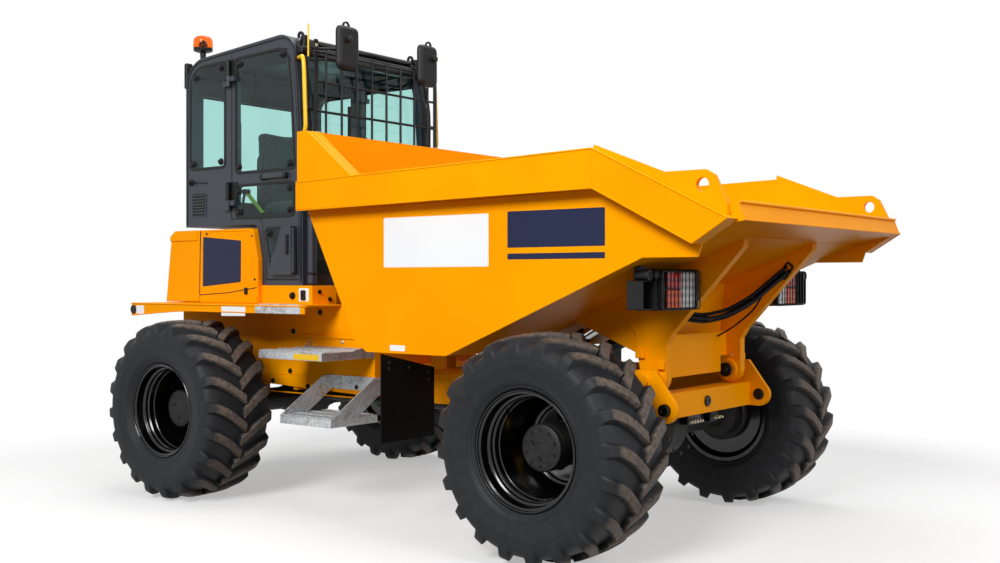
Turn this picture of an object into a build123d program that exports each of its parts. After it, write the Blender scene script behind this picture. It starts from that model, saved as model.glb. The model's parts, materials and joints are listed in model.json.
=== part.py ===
"""Articulated site dumper with a straight-tip skip and a full cab.

The frame is +Z up, the machine faces -Y and its right side is -X. While the pieces are
drawn, Y is 0 at the articulation pin, halfway between the axles. At the end everything is
shifted along Y so that the origin lies under the middle of the machine, on the floor.
Sizes are millimetres.
"""
import os
from math import atan2, cos, degrees, hypot, radians, sin

from build123d import *

# ---------------------------------------------------------------- driving dimensions
# Wheels and axles
WHEELBASE = 2865
TRACK = 2052                 # between the tyres' middles
TYRE_R = 570                 # over the lugs
AXLE_Z = TYRE_R              # the frame's heights are counted from the axles
TYRE_W = 500
TYRE_WALL = 24
LUG_COUNT = 20               # on each side of the tyre
LUG_TOP = 0.162              # half a lug's top, as a share of the pitch
LUG_FOOT = 0.25              # half its foot
LUG_ROWS = ((0, 0, 0, 36), (115, 9.4, 3, 39), (228, 14.5, 25, 65))
                             # distance from the middle, lag in degrees, depth of the top and of the foot
SHOULDER = (250, 118)        # distance from the middle and depth of the sidewall's outer edge
SIDEWALL = (236, 235)
CAVITY = (205, 70)
RIM_FIT = 0.05               # between the tyre's facets and the rim's seat
RIM_FLANGE_R = 298
RIM_SEAT_R = 286
RIM_W = 426
RIM_WALL = 10
WHEEL_DISC = 14              # thickness of the wheel's disc
DISC_INSET = 168             # from the tyre's middle plane inwards to the disc's outer face
WHEEL_BORE_R = 110.5
STUD_PCD = 275
STUD_COUNT = 8
STUD_R = 10
NUT_R = 17
HUB_R = 110                  # planetary hub drum
HUB_OUT = 82                 # hub cover's face, outside the tyre's middle plane
HUB_FLANGE_R = 165
HUB_FLANGE = 50
SPINDLE_R = 52
SPINDLE = 70                 # length of spindle inside the hub
RUN_FIT = 0.05               # radial clearance of a shaft in its bore
AXLE_TUBE_R = 78
DIFF_R = 165
DIFF_W = 250
AXLE_FLANGE_R = 130

# Skip: side view as (y, z) corners of its sheets
SKIP_X = 1020                # outer face of the side sheets
SHEET = 10
FLOOR_Z = AXLE_Z + 420
FLOOR_REAR_Y = -160
FLOOR_FRONT_Y = -750
HEEL_Y = -70
HEEL_Z = AXLE_Z + 480
BACK_Y = 325                 # rearmost face of the headboard
BACK_Z = AXLE_Z + 1236                # where the leaning back sheet ends
LIP_Y = -2474
LIP_Z = AXLE_Z + 1090
LIP_TOP_Y = -2440
LIP_TOP_Z = AXLE_Z + 1180
LIP_FOOT_Y = -2215           # where the lip's lower plate meets the nose floor
NOSE_SLOPE = 0.4215          # rise per length of the sloping nose floor
SKIRT_Y = -1960              # the side sheet leaves the nose floor here
SKIRT_END_Y = -2250
SKIRT_Z = AXLE_Z + 930
BAND_OUT = 90                # how far the box band stands out from the side sheet
BAND_WALL = 8
BAND_REAR_TOP_Z = AXLE_Z + 1395
BAND_BREAK_Y = -1735
BAND_BREAK_TOP_Z = AXLE_Z + 1450
BAND_BREAK_LOW_Z = AXLE_Z + 1262
BAND_END_TOP_Y = -2445
BAND_END_TOP_Z = AXLE_Z + 1097
BAND_END_LOW_Y = -2270
BAND_END_LOW_Z = AXLE_Z + 987
HEAD_TOP_Z = AXLE_Z + 1692
HEAD_DEPTH = 80              # from the headboard's sheet back to its flange edge
HEAD_FOOT_Y = -120           # where the side gusset comes down to the band
GUSSET_W = 100
GUSSET_WALL = 10
GUSSET_INSET = 12            # inside the band's outer face
LUG_T = 28
LUG_HOLE_Y = -2288
LUG_HOLE_Z = AXLE_Z + 1255
LUG_HOLE_R = 32
LUG_FRONT = 123              # from the hole to the lug's front edge

# Tip pivot and the skip's arms
TIP_Y = -1690
TIP_Z = AXLE_Z + 310
TIP_PIN_R = 30
ARM_X = 400                  # inner face of each arm
ARM_T = 55
ARM_R = 74
ARM_ELBOW_Y = -1800
ARM_ELBOW_Z = AXLE_Z + 550
ARM_TOP_Y = -2200

# Tip rams
RAM_X = 270
RAM_BASE_Y = -450
RAM_BASE_Z = AXLE_Z + 130
RAM_EYE_Y = -1275
RAM_EYE_Z = AXLE_Z + 588
RAM_BARREL_R = 45
RAM_ROD_R = 30
RAM_BARREL = 790             # from the base pin to the gland
RAM_EYE_R = 42
RAM_EYE_W = 60
RAM_PIN_R = 25
CHEEK = 16                   # thickness of a bracket's cheek
NECK = 25                    # between a ram's base eye and its barrel
SIDE_GAP = 6                 # between a moving eye and its cheeks

# Front chassis
FRONT_X = 555                # outer face of its side plates
FRONT_PLATE = 25
FRAME_LOW_Z = AXLE_Z + 98
FRONT_TOP_Z = AXLE_Z + 310
FRONT_END_Y = -200           # rear end of the front side plates
BEAM_Y = -1760
BEAM_DEPTH = 110
BEAM_H = 132
BEAM_WALL = 12
BEAM_HOLE_R = 26
EAR_Y = -1816
EAR_Z = AXLE_Z + 162
EAR_R = 68
EAR_HOLE_R = 33
EAR_TOP_Y = -1752
EAR_TOP_Z = AXLE_Z + 360

# Mudflaps
FLAP_Y = -460
FLAP_T = 8
FLAP_IN_X = 780
FLAP_OUT_X = 1210
FLAP_LOW_Z = AXLE_Z - 50
FLAP_IN_Z = AXLE_Z + 335
FLAP_OUT_Z = AXLE_Z + 430
FLAP_BAR_R = 16
FLAP_BAR_Z = AXLE_Z + 300

# Articulation
RAM_FOOT = 90                # from the ram's base pin to the cross box
CROSS_BOX = 60
YOKE_FOOT = 220
PIVOT_CAP = 12
STEER_CHEEK = 45
PIVOT_R = 80
PIVOT_PIN_R = 35
PIVOT_LOW_Z = AXLE_Z + 130
PIVOT_TOP_Z = AXLE_Z + 280
YOKE = 30
STACK_GAP = 0.5
SHAFT_Z = AXLE_Z + 20
SHAFT_R = 34
JOINT_R = 58
STEER_X = 330
STEER_REAR_Y = 600
STEER_FRONT_Y = -220
STEER_Z = AXLE_Z + 190
STEER_BARREL_R = 36
STEER_ROD_R = 20
STEER_BARREL = 500
STEER_EYE_R = 32
STEER_EYE_W = 40
STEER_PIN_R = 16
STEER_ROD = 555              # from the eye to the rod's inner end

# Rear chassis, deck and steps
REAR_X = 500
REAR_PLATE = 20
REAR_FRONT_Y = 275
REAR_END_Y = 2190
NOSE_TOP_Y = 420             # the front plate leans back to here at the deck
NOSE_BREAK_Z = AXLE_Z + 430
DECK_CLEAR = 100             # from the rear tyres up to the deck
DECK_Z = AXLE_Z + TYRE_R + DECK_CLEAR
DECK_T = 10
REAR_TOP_Z = DECK_Z - DECK_T
DECK_X = 960
DECK_FRONT_Y = 390
DECK_INNER_Y = 570
DECK_INNER_X = 860
DECK_END_Y = 2150
SKIRT_DROP = 88
TREAD_DROP = 50
TREAD_START_Y = 412          # the skirt starts behind the deck's chamfered corner
TREAD_END_Y = 860            # the front stretch of the deck's edge is a tread plate
STEP_X = 950
STEP_T = 48
UPPER_STEP = (275, 840, AXLE_Z + 390)     # front y, rear y, top z
LOWER_STEP = (195, 640, AXLE_Z)
LOWER_STEP_IN = 560
HANGER_T = 6
HANGER_TOP_Z = AXLE_Z + 210
HANGER_H = 80                # height of a hanger's end on the chassis
STEP_END = 60                # how far a step's end plates stand above its tread

# Engine bay covers
HOOD_X = 650
HOOD_FRONT_Y = 1195
HOOD_SPLIT_Y = 1800
HOOD_END_LOW_Y = 2185
HOOD_END_TOP_Y = 2125
HOOD_TOP_Z = DECK_Z + 500
HOOD_WALL = 25
BONNET_HINGE_Z = (DECK_Z + 110, DECK_Z + 400)
HOOD_SLANT_Z = DECK_Z + 290  # the covers' front edge leans back above this
HOOD_CORNER_Y = 1245
HOOD_CORNER_R = 45
LID_Y = 1831                 # the raised lid's front edge on the bonnet
LID_OUT = 8
LID_H = 70
SLAT_COUNT = 8               # cooling slats on the bonnet's rear face
SLAT_X = 380
SLAT_H = 14
SLAT_PITCH = 30
SLAT_LOW_Z = DECK_Z + 160
SLAT_OUT = 12

ENGINE = (560, 740, 700)     # width, length and height of the engine block
ENGINE_FRONT_Y = 1250
ENGINE_Z = AXLE_Z + 230
ENGINE_MOUNT_Y = (1340, 1860)

# Cab
CAB_X = 620
CAB_WALL = 42
CAB_FRONT_Y = 800
CAB_REAR_Y = 2000
CAB_LOW_Z = DECK_Z + 120
CAB_STEP_Z = HOOD_TOP_Z + 25     # the cab's floor over the engine bay
CAB_STEP_Y = HOOD_FRONT_Y - 5
CAB_LEAN_Z = (DECK_Z + 860, DECK_Z + 1360)   # the front leans back gently, and more above the second height
CAB_LEAN_Y = 30                  # lean between those two heights
CAB_LEAN_TOP = 0.15              # lean per height above them
ROOF_FRONT_Z = DECK_Z + 1768     # corners of the roof before they are rounded
ROOF_REAR_Z = DECK_Z + 1686
ROOF_FRONT_R = 150
ROOF_REAR_R = 200
ROOF_SPLIT_Z = DECK_Z + 1645
GLASS = 6
DOOR_GAP = 5
DOOR_FRONT_Y = 838
DOOR_REAR_Y = 1500
DOOR_LOW_Z = DECK_Z + 160
DOOR_CUT_Y = CAB_STEP_Y - 45     # the door's lower rear corner is cut round the engine bay
DOOR_CUT_TOP_Z = CAB_STEP_Z + 47
DOOR_TOP_Z = DECK_Z + 1640
DOOR_FRAME = 45
DOOR_CORNER_R = 130
PANE_R = 35                      # a pane's small corners
PANE_TOP_R = 90                  # its upper front corner
RAIL_LOW_Z = DECK_Z + 790
RAIL_TOP_Z = DECK_Z + 880
SILL_LOW_Z = DECK_Z + 495        # lower rail of the door
SILL_TOP_Z = DECK_Z + 575
POD_Y = (856, 1083)              # latch cover on the door: front edge and its foot's rear edge
POD_TOP_Y = 949
POD_Z = (DECK_Z + 190, DECK_Z + 502)
POD_OUT = 50
HINGE_OUT = 30                   # hinge axis outside the door's outer face
HINGE_R = 12
HINGE_PIN_R = 6
HINGE_H = 34
HINGE_LEAF = 60
DOOR_HINGE_Z = (DECK_Z + 660, DECK_Z + 1500)
QUARTER_Y = (1575, 1945)         # rear side window
QUARTER_Z = (DECK_Z + 925, DECK_Z + 1570)
QUARTER_R = 120
SCREEN_X = 545                   # windscreen, half its width
SCREEN_Z = (DECK_Z + 190, DECK_Z + 1610)
REAR_PANE_X = 500                # rear window, half its width
REAR_PANE_Z = (DECK_Z + 720, DECK_Z + 1460)
PANE_FOOT_Y = 160                # depth of the cut for the windscreen

# Isolator box and posts before the cab
BASE_Y = 710
BASE_IN_X = 410
POST_X = 577
POST_Y = 760
POST_R = 30
POST_Z = (DECK_Z + 120, DECK_Z + 590)

# Guard before the windscreen
GRILLE_X = 495
GRILLE_FOOT_X = 578
GRILLE_OUT = 80                  # before the cab's foot
GRILLE_R = 7
GRILLE_Z = (DECK_Z + 1070, DECK_Z + 1240, DECK_Z + 1430, DECK_Z + 1620)
GRILLE_BARS = 8
UPRIGHT_W = 34
UPRIGHT_T = 8
UPRIGHT_Z = (DECK_Z + 1045, DECK_Z + 1700)

# Handrails, mirrors and beacon
RAIL_OUT_X = 16                  # outside the cab's side
RAIL_OUT_Y = 45                  # before the cab's foot
RAIL_R = 14
RAIL_FOOT_R = 10
RAIL_Z = (DECK_Z + 1115, DECK_Z + 1595)
RAIL_FOOT = 15                   # from a rail's end to its foot
RAIL_FOOT_GAP = 6                # leaves the slanting foot's edge just clear of the cab
MIRROR_X = 480
MIRROR_W = 170
MIRROR_T = 45
MIRROR_Y = 655                   # front face of a mirror
MIRROR_Z = (DECK_Z + 1520, DECK_Z + 1790)
MIRROR_ARM_Z = DECK_Z + 1656
MIRROR_ARM_R = 10
MIRROR_ARM_SEAT = 0.7            # the roof's rounding has begun where the arm meets it
BEACON_X = -450
BEACON_OUT = 30                  # behind the cab's rear face
BEACON_FOOT_Z = DECK_Z + 1500
BEACON_Z = DECK_Z + 1800         # top of the stalk
BEACON_H = 110
BEACON_R = 60
STALK_R = 9

# Seat, dash and steering wheel
SEAT_Y = (1230, 1700)
SEAT_X = 240
SEAT_TOP_Z = DECK_Z + 720
SEAT_BACK = (1640, 1760)         # front and rear of the backrest
SEAT_BACK_X = 230
SEAT_BACK_Z = DECK_Z + 1230
DASH_X = 120
DASH_Y = (850, 960)
DASH_TOP_Z = DECK_Z + 910
COLUMN_Y = (905, 1040)
COLUMN_R = 25
COLUMN_TOP_Z = DECK_Z + 1050
WHEEL_RING_R = 190
WHEEL_RING_W = 25
WHEEL_RING_T = 24
WHEEL_SPOKE_W = 30

# Lamps
LAMP_X = (470, 842)              # front lamps, hung under the nose floor
LAMP_Y = (-1945, -1800)
LAMP_Z = (AXLE_Z + 672, AXLE_Z + 882)
LAMP_FRAME = 14
LAMP_FRAME_OUT = 38              # guard's depth before the housing
LAMP_BARS = 9
LAMP_BAR_R = 4
LENS_T = 12
LENS_SPLIT_X = (530, 620, 760)   # reversing, side and indicator lenses
BRACKET_X = 960
BRACKET_Z = (AXLE_Z + 680, AXLE_Z + 830)
BRACKET_T = 12
HANGER_Y = 60                # from a housing's rear face forwards to its hanger
HANGER_W = 40
TAIL_LAMP_X = (760, 940)
TAIL_LAMP_H = 60
TAIL_LAMP_T = 34
TAIL_LAMP_OUT = 14           # behind the deck's edge

# ---------------------------------------------------------------- derived places
DOOR_AXIS_Y = DOOR_REAR_Y + DOOR_GAP / 2
BONNET_AXIS_X = HOOD_X + 15
FRONT_AXLE_Y = -WHEELBASE / 2
REAR_AXLE_Y = WHEELBASE / 2
WHEEL_X = TRACK / 2
DISC_X = WHEEL_X - DISC_INSET
STAND_SHIFT = -(LIP_Y + REAR_END_Y) / 2
SIDES = (("right", -1), ("left", 1))


# ---------------------------------------------------------------- drawing helpers
def yz_plate(points, x_from, x_to):
    """A plate with a side view of (y, z) corners, from one x to the other."""
    low, high = sorted((x_from, x_to))
    face = Plane.YZ.offset(low) * make_face(Polyline(*points, close=True))
    return extrude(face, amount=high - low, dir=(1, 0, 0))


def rounded_plate(points, radii, x_from, x_to):
    """Like yz_plate, with each corner rounded by its own radius, or left sharp by 0."""
    low, high = sorted((x_from, x_to))
    face = Plane.YZ.offset(low) * make_face(FilletPolyline(*points, radius=radii, close=True))
    return extrude(face, amount=high - low, dir=(1, 0, 0))


def xy_plate(points, z_from, z_to):
    """A plate with a plan of (x, y) corners, from one height to the other."""
    face = Plane.XY.offset(z_from) * make_face(Polyline(*points, close=True))
    return extrude(face, amount=z_to - z_from, dir=(0, 0, 1))


def xz_plate(points, y_from, y_to):
    """A plate with a front view of (x, z) corners, from one y to the other."""
    face = Pos(0, y_from, 0) * (Plane.XZ * make_face(Polyline(*points, close=True)))
    return extrude(face, amount=y_to - y_from, dir=(0, 1, 0))


def block(x, y, z):
    """A box between two x, two y and two z."""
    size = [high - low for low, high in (sorted(x), sorted(y), sorted(z))]
    middle = [(low + high) / 2 for low, high in (x, y, z)]
    return Pos(*middle) * Box(*size)


def bar(start, end, radius):
    """A round bar between two points."""
    axis = Vector(*end) - Vector(*start)
    plane = Plane(origin=start, z_dir=axis)
    return extrude(plane * Circle(radius), amount=axis.length)


def pin_x(x_from, x_to, y, z, radius):
    """A round pin along X."""
    return bar((min(x_from, x_to), y, z), (max(x_from, x_to), y, z), radius)


def pin_z(x, y, z_from, z_to, radius):
    """A round pin along Z."""
    return bar((x, y, z_from), (x, y, z_to), radius)


def turned(profile):
    """A solid of revolution about X from (x, r) corners."""
    face = make_face(Polyline(*[(x, r) for x, r in profile], close=True))
    return revolve(face, Axis.X)


def mirrored(shape):
    """The same shape on the machine's other side."""
    return mirror(shape, about=Plane.YZ)


def both(shape):
    """A shape and its mirror image, fused."""
    return shape + mirrored(shape)


def nose_z(y):
    """Height of the sloping nose floor's underside."""
    return FLOOR_Z + NOSE_SLOPE * (FLOOR_FRONT_Y - y)


def band_top_z(y):
    """Height of the band's top edge behind and before its break."""
    if y > BAND_BREAK_Y:
        share = (y - BAND_BREAK_Y) / (BACK_Y - BAND_BREAK_Y)
        return BAND_BREAK_TOP_Z + share * (BAND_REAR_TOP_Z - BAND_BREAK_TOP_Z)
    share = (y - BAND_BREAK_Y) / (BAND_END_TOP_Y - BAND_BREAK_Y)
    return BAND_BREAK_TOP_Z + share * (BAND_END_TOP_Z - BAND_BREAK_TOP_Z)


def knuckle(face_x, axis_x, axis_y, leaf_y, z_from, z_to, bored):
    """Half of a hinge on the left side: its barrel, its leaf back to a face and, if not bored, its pin."""
    middle = (z_from + z_to) / 2
    shape = pin_z(axis_x, axis_y, z_from, z_to, HINGE_R)
    near = axis_y + (HINGE_R * 0.4 if leaf_y > axis_y else -HINGE_R * 0.4)
    shape += block((face_x, axis_x), (near, leaf_y), (z_from, z_to))
    if bored:
        return shape - pin_z(axis_x, axis_y, z_from - 1, z_to + 1, HINGE_PIN_R + RUN_FIT)
    return shape + pin_z(axis_x, axis_y, middle, z_to + HINGE_H, HINGE_PIN_R)


# ---------------------------------------------------------------- wheels
def ring(x, lag, places):
    """Points round the wheel as (place, point): places are (pitches, radius) within one lug's pitch.

    The two sides of the tyre differ by half a pitch.
    """
    offset = 0 if x >= 0 else 0.5
    points = []
    for index in range(LUG_COUNT):
        for pitches, radius in places:
            place = index + offset + pitches
            angle = radians(place * 360 / LUG_COUNT - lag)
            points.append((place, (x, radius * cos(angle), radius * sin(angle))))
    return points


def strip(first, second):
    """Triangles between two rings, always stepping along the ring whose next point comes first."""
    rings = [first + [(first[0][0] + LUG_COUNT, first[0][1])], second + [(second[0][0] + LUG_COUNT, second[0][1])]]
    at = [0, 0]
    triangles = []
    while at[0] < len(first) or at[1] < len(second):
        ahead = [rings[k][at[k] + 1][0] if at[k] + 1 < len(rings[k]) else LUG_COUNT * 3 for k in (0, 1)]
        k = 0 if ahead[0] <= ahead[1] else 1
        here, there = rings[k][at[k]][1], rings[1 - k][at[1 - k]][1]
        triangles.append((here, rings[k][at[k] + 1][1], there) if k == 0 else (here, there, rings[k][at[k] + 1][1]))
        at[k] += 1
    return triangles


def tyre():
    """Tyre on the rim's seats, its axle along X, with chevron lugs that meet in the middle.

    Rings of points go round it, from the middle over one side's tread and sidewall to the
    rim, back inside and up the other side. A lug's ring has four points to a lug: its foot,
    the two edges of its top and its foot again.
    """
    facet = cos(radians(180 / LUG_COUNT))
    top_chord = cos(radians(LUG_TOP * 360 / LUG_COUNT))
    lag = LUG_ROWS[-1][1]
    seat_x = RIM_W / 2 - RIM_WALL
    halves = []
    for side in (1, -1):
        rings = []
        for x, row_lag, top, foot in LUG_ROWS:
            top_r, foot_r = (TYRE_R - top) / top_chord, TYRE_R - foot
            places = [(-LUG_FOOT, foot_r), (-LUG_TOP, top_r), (LUG_TOP, top_r), (LUG_FOOT, foot_r)]
            rings.append(ring(side * x if x else side * 1e-9, row_lag, places))
        rings.append(ring(side * SHOULDER[0], lag, [(-LUG_FOOT, TYRE_R - SHOULDER[1]), (LUG_FOOT, TYRE_R - SHOULDER[1])]))
        for x, radius in ((SIDEWALL[0], TYRE_R - SIDEWALL[1]), (seat_x, (RIM_FLANGE_R + 1) / facet),
                          (seat_x, (RIM_SEAT_R + RIM_FIT) / facet), (seat_x - TYRE_WALL, (RIM_SEAT_R + RIM_FIT) / facet),
                          (CAVITY[0], TYRE_R - CAVITY[1])):
            rings.append(ring(side * x, lag, [(0, radius)]))
        halves.append([[(place, (round(p[0], 6), p[1], p[2])) for place, p in row] for row in rings])
    triangles = []
    for rings in halves:
        for first, second in zip(rings, rings[1:]):
            triangles += strip(first, second)
        middle = [point for place, point in rings[0]]
        for index in range(0, len(middle), 4):
            foot, top, top_end, foot_end = middle[index:index + 4]
            triangles += [(foot, top, top_end), (foot, top_end, foot_end)]
    triangles += strip(halves[0][-1], halves[1][-1])
    faces = [Face(Wire.make_polygon([Vector(*corner) for corner in triangle], close=True)) for triangle in triangles]
    shape = Solid(Shell(faces))
    return shape if shape.volume > 0 else Solid(Shell([-face for face in faces]))


def rim(side):
    """Rim and disc; side is the direction of the wheel's outer face."""
    half = RIM_W / 2
    seat = half - RIM_WALL
    well_r = 250
    outer = [(half, RIM_FLANGE_R), (seat, RIM_FLANGE_R), (seat, RIM_SEAT_R), (seat - 45, RIM_SEAT_R - 3),
             (seat - 80, well_r), (-seat + 80, well_r), (-seat + 45, RIM_SEAT_R - 3), (-seat, RIM_SEAT_R),
             (-seat, RIM_FLANGE_R), (-half, RIM_FLANGE_R)]
    disc_out = -DISC_INSET
    disc_in = disc_out - WHEEL_DISC
    inner = [(-half, RIM_SEAT_R - RIM_WALL), (disc_in, well_r), (disc_in, WHEEL_BORE_R),
             (disc_out, WHEEL_BORE_R), (disc_out, well_r - 26), (disc_out + 60, well_r - 14),
             (seat - 90, well_r - 10), (seat - 40, RIM_SEAT_R - 16), (half, RIM_FLANGE_R - RIM_WALL)]
    profile = [(side * x, r) for x, r in outer + inner]
    return turned(profile)


def hub(side):
    """Planetary hub with its flange behind the wheel disc, studs and nuts."""
    disc_out = -DISC_INSET
    disc_in = disc_out - WHEEL_DISC
    back = disc_in - HUB_FLANGE
    profile = [(back, SPINDLE_R + RUN_FIT), (back, HUB_FLANGE_R), (disc_in, HUB_FLANGE_R), (disc_in, HUB_R),
               (HUB_OUT - 60, HUB_R), (HUB_OUT - 20, HUB_R - 14), (HUB_OUT, HUB_R - 30), (HUB_OUT, 0),
               (back + SPINDLE + 2, 0), (back + SPINDLE + 2, SPINDLE_R + RUN_FIT)]
    shape = turned([(side * x, r) for x, r in profile])
    for index in range(STUD_COUNT):
        angle = radians(360 / STUD_COUNT * (index + 0.5))
        y = STUD_PCD / 2 * cos(angle)
        z = STUD_PCD / 2 * sin(angle)
        shape += pin_x(side * disc_out, side * (disc_out + 30), y, z, NUT_R)
    return shape


def axle(y, shaft_end_y):
    """Rigid drive axle with its differential, spindles and propeller shaft."""
    flange_in = DISC_X - WHEEL_DISC - HUB_FLANGE
    end = flange_in + SPINDLE
    gap = 0.3
    half = [(0, 0), (0, DIFF_R), (DIFF_W * 0.3, DIFF_R), (DIFF_W * 0.6, AXLE_TUBE_R + 26), (DIFF_W, AXLE_TUBE_R),
            (flange_in - 70, AXLE_TUBE_R), (flange_in - 50, AXLE_FLANGE_R), (flange_in - gap, AXLE_FLANGE_R),
            (flange_in - gap, SPINDLE_R), (end, SPINDLE_R), (end, 0)]
    beam = turned(half)
    shape = beam + mirrored(beam)
    shape = Pos(0, y, AXLE_Z) * shape
    return shape + bar((0, y, SHAFT_Z), (0, shaft_end_y, SHAFT_Z), SHAFT_R)


# ---------------------------------------------------------------- skip
def floor_line():
    """Underside of the back, floor and nose sheets as (y, z), from rear to front."""
    return [(BACK_Y - 5, BACK_Z), (HEEL_Y, HEEL_Z), (FLOOR_REAR_Y, FLOOR_Z), (FLOOR_FRONT_Y, FLOOR_Z),
            (LIP_TOP_Y, nose_z(LIP_TOP_Y))]


def back_y(z):
    """Underside of the leaning back sheet at a height."""
    return HEEL_Y + (z - HEEL_Z) * (BACK_Y - 5 - HEEL_Y) / (BACK_Z - HEEL_Z)


def back_face_z(y):
    """Height at which the leaning back sheet's inner face reaches a y."""
    low_y, low_z = HEEL_Y - SHEET * 0.9, HEEL_Z + SHEET * 0.6
    high_y, high_z = back_y(BACK_Z) - SHEET * 1.15, BACK_Z
    return low_z + (y - low_y) * (high_z - low_z) / (high_y - low_y) + 2


def skip_tub():
    """Side sheets, back, floor, nose and headboard sheet."""
    outline = [(BACK_Y - 5, BACK_Z), (HEEL_Y, HEEL_Z), (FLOOR_REAR_Y, FLOOR_Z), (FLOOR_FRONT_Y, FLOOR_Z),
               (SKIRT_Y, SKIRT_Z), (SKIRT_END_Y, SKIRT_Z), (BAND_END_LOW_Y, BAND_END_LOW_Z),
               (BAND_END_TOP_Y, BAND_END_TOP_Z), (BAND_BREAK_Y, BAND_BREAK_TOP_Z), (BACK_Y - 5, BAND_REAR_TOP_Z)]
    shape = both(yz_plate(outline, SKIP_X - SHEET, SKIP_X))
    line = floor_line()
    line[0] = (back_y(BACK_Z), BACK_Z)
    upper = [(line[0][0] - SHEET * 1.15, BACK_Z), (HEEL_Y - SHEET * 0.9, HEEL_Z + SHEET * 0.6),
             (FLOOR_REAR_Y - SHEET * 0.3, FLOOR_Z + SHEET), (FLOOR_FRONT_Y + SHEET * 0.2, FLOOR_Z + SHEET),
             (LIP_TOP_Y, nose_z(LIP_TOP_Y) + SHEET * 1.1)]
    shape += yz_plate(line + list(reversed(upper)), SHEET - SKIP_X, SKIP_X - SHEET)
    head_y = BACK_Y - HEAD_DEPTH
    seat_z = HEEL_Z + (head_y - HEEL_Y) * (BACK_Z - HEEL_Z) / (BACK_Y - 5 - HEEL_Y)
    sheet = [(head_y, seat_z), (head_y, HEAD_TOP_Z - SHEET), (head_y + SHEET, HEAD_TOP_Z - SHEET),
             (head_y + SHEET, seat_z + SHEET)]
    shape += yz_plate(sheet, SHEET - SKIP_X, SKIP_X - SHEET)
    return shape


def skip_rim():
    """Box bands along the skip's sides."""
    outer_x = SKIP_X + BAND_OUT
    outline = [(BACK_Y, BAND_REAR_TOP_Z), (BAND_BREAK_Y, BAND_BREAK_TOP_Z), (BAND_END_TOP_Y, BAND_END_TOP_Z),
               (BAND_END_LOW_Y, BAND_END_LOW_Z), (BAND_BREAK_Y + 8, BAND_BREAK_LOW_Z), (BACK_Y, BACK_Z)]
    t = BAND_WALL
    inside = [(BACK_Y - t, BAND_REAR_TOP_Z - t), (BAND_BREAK_Y, BAND_BREAK_TOP_Z - t),
              (BAND_END_TOP_Y + 2.4 * t, BAND_END_TOP_Z + 0.2 * t), (BAND_END_LOW_Y, BAND_END_LOW_Z + 1.4 * t),
              (BAND_BREAK_Y + 8, BAND_BREAK_LOW_Z + t), (BACK_Y - t, BACK_Z + t)]
    return both(yz_plate(outline, SKIP_X, outer_x) - yz_plate(inside, SKIP_X, outer_x - t))


def skip_gussets():
    """Sloping boxes that brace the headboard on the bands."""
    t = GUSSET_WALL
    gusset_x = SKIP_X + BAND_OUT - GUSSET_INSET
    head_y = BACK_Y - HEAD_DEPTH
    face = [(BACK_Y, band_top_z(BACK_Y)), (BACK_Y, HEAD_TOP_Z), (head_y, HEAD_TOP_Z),
            (HEAD_FOOT_Y, band_top_z(HEAD_FOOT_Y))]
    pocket = [(BACK_Y, band_top_z(BACK_Y) + 1), (BACK_Y, HEAD_TOP_Z - t), (head_y + t, HEAD_TOP_Z - t),
              (HEAD_FOOT_Y + 3 * t, band_top_z(HEAD_FOOT_Y) + 1)]
    gusset = yz_plate(face, gusset_x - GUSSET_W, gusset_x)
    gusset -= yz_plate(pocket, gusset_x - GUSSET_W + t, gusset_x - t)
    return both(gusset - block((0, SKIP_X - SHEET), (head_y - 5, head_y + SHEET), (0, HEAD_TOP_Z)))


def skip_lugs():
    """Lifting lugs on the bands' front slopes."""
    front_y = LUG_HOLE_Y - LUG_FRONT
    rear_y = BAND_BREAK_Y + 30
    nose_foot_z = LUG_HOLE_Z - 90
    lug = [(rear_y, BAND_BREAK_TOP_Z + 25), (LUG_HOLE_Y + 198, LUG_HOLE_Z + EAR_R),
           (LUG_HOLE_Y - 15, LUG_HOLE_Z + EAR_R),
           (LUG_HOLE_Y - 58, LUG_HOLE_Z + 42), (front_y, nose_foot_z), (front_y, band_top_z(front_y)),
           (BAND_BREAK_Y, band_top_z(BAND_BREAK_Y)), (rear_y, band_top_z(rear_y))]
    plate = yz_plate(lug, SKIP_X, SKIP_X + LUG_T)
    return both(plate - pin_x(SKIP_X - 1, SKIP_X + LUG_T + 1, LUG_HOLE_Y, LUG_HOLE_Z, LUG_HOLE_R))


def skip_head():
    """Flange along the headboard's top with the ribs behind its sheet."""
    head_y = BACK_Y - HEAD_DEPTH
    reach = SKIP_X + BAND_OUT - GUSSET_INSET - GUSSET_W
    shape = block((-reach, reach), (head_y, BACK_Y), (HEAD_TOP_Z - SHEET, HEAD_TOP_Z))
    for x in (-600, -200, 200, 600):
        rib = [(head_y + SHEET, HEAD_TOP_Z - SHEET), (BACK_Y, HEAD_TOP_Z - SHEET), (BACK_Y, BACK_Z + 1),
               (back_y(BACK_Z) - SHEET * 1.2, BACK_Z + 1), (head_y + SHEET, back_face_z(head_y + SHEET))]
        shape += yz_plate(rib, x - 6, x + 6)
    return shape


def skip_lip():
    """Hollow beam under the front lip: an upright front plate and a plate back to the nose floor."""
    line = [(LIP_TOP_Y, LIP_TOP_Z), (LIP_Y, LIP_Z), (LIP_FOOT_Y, nose_z(LIP_FOOT_Y)), (LIP_TOP_Y, nose_z(LIP_TOP_Y))]
    t = BAND_WALL
    inside = [(LIP_TOP_Y - t * 0.5, nose_z(LIP_TOP_Y)), (LIP_Y + t * 1.4, LIP_Z + t),
              (LIP_FOOT_Y - t * 5, nose_z(LIP_FOOT_Y - t * 5)), (LIP_TOP_Y + t, nose_z(LIP_TOP_Y + t))]
    beam = yz_plate(line, SHEET - SKIP_X, SKIP_X - SHEET)
    return beam - yz_plate(inside, SHEET + t - SKIP_X, SKIP_X - SHEET - t)


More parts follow.
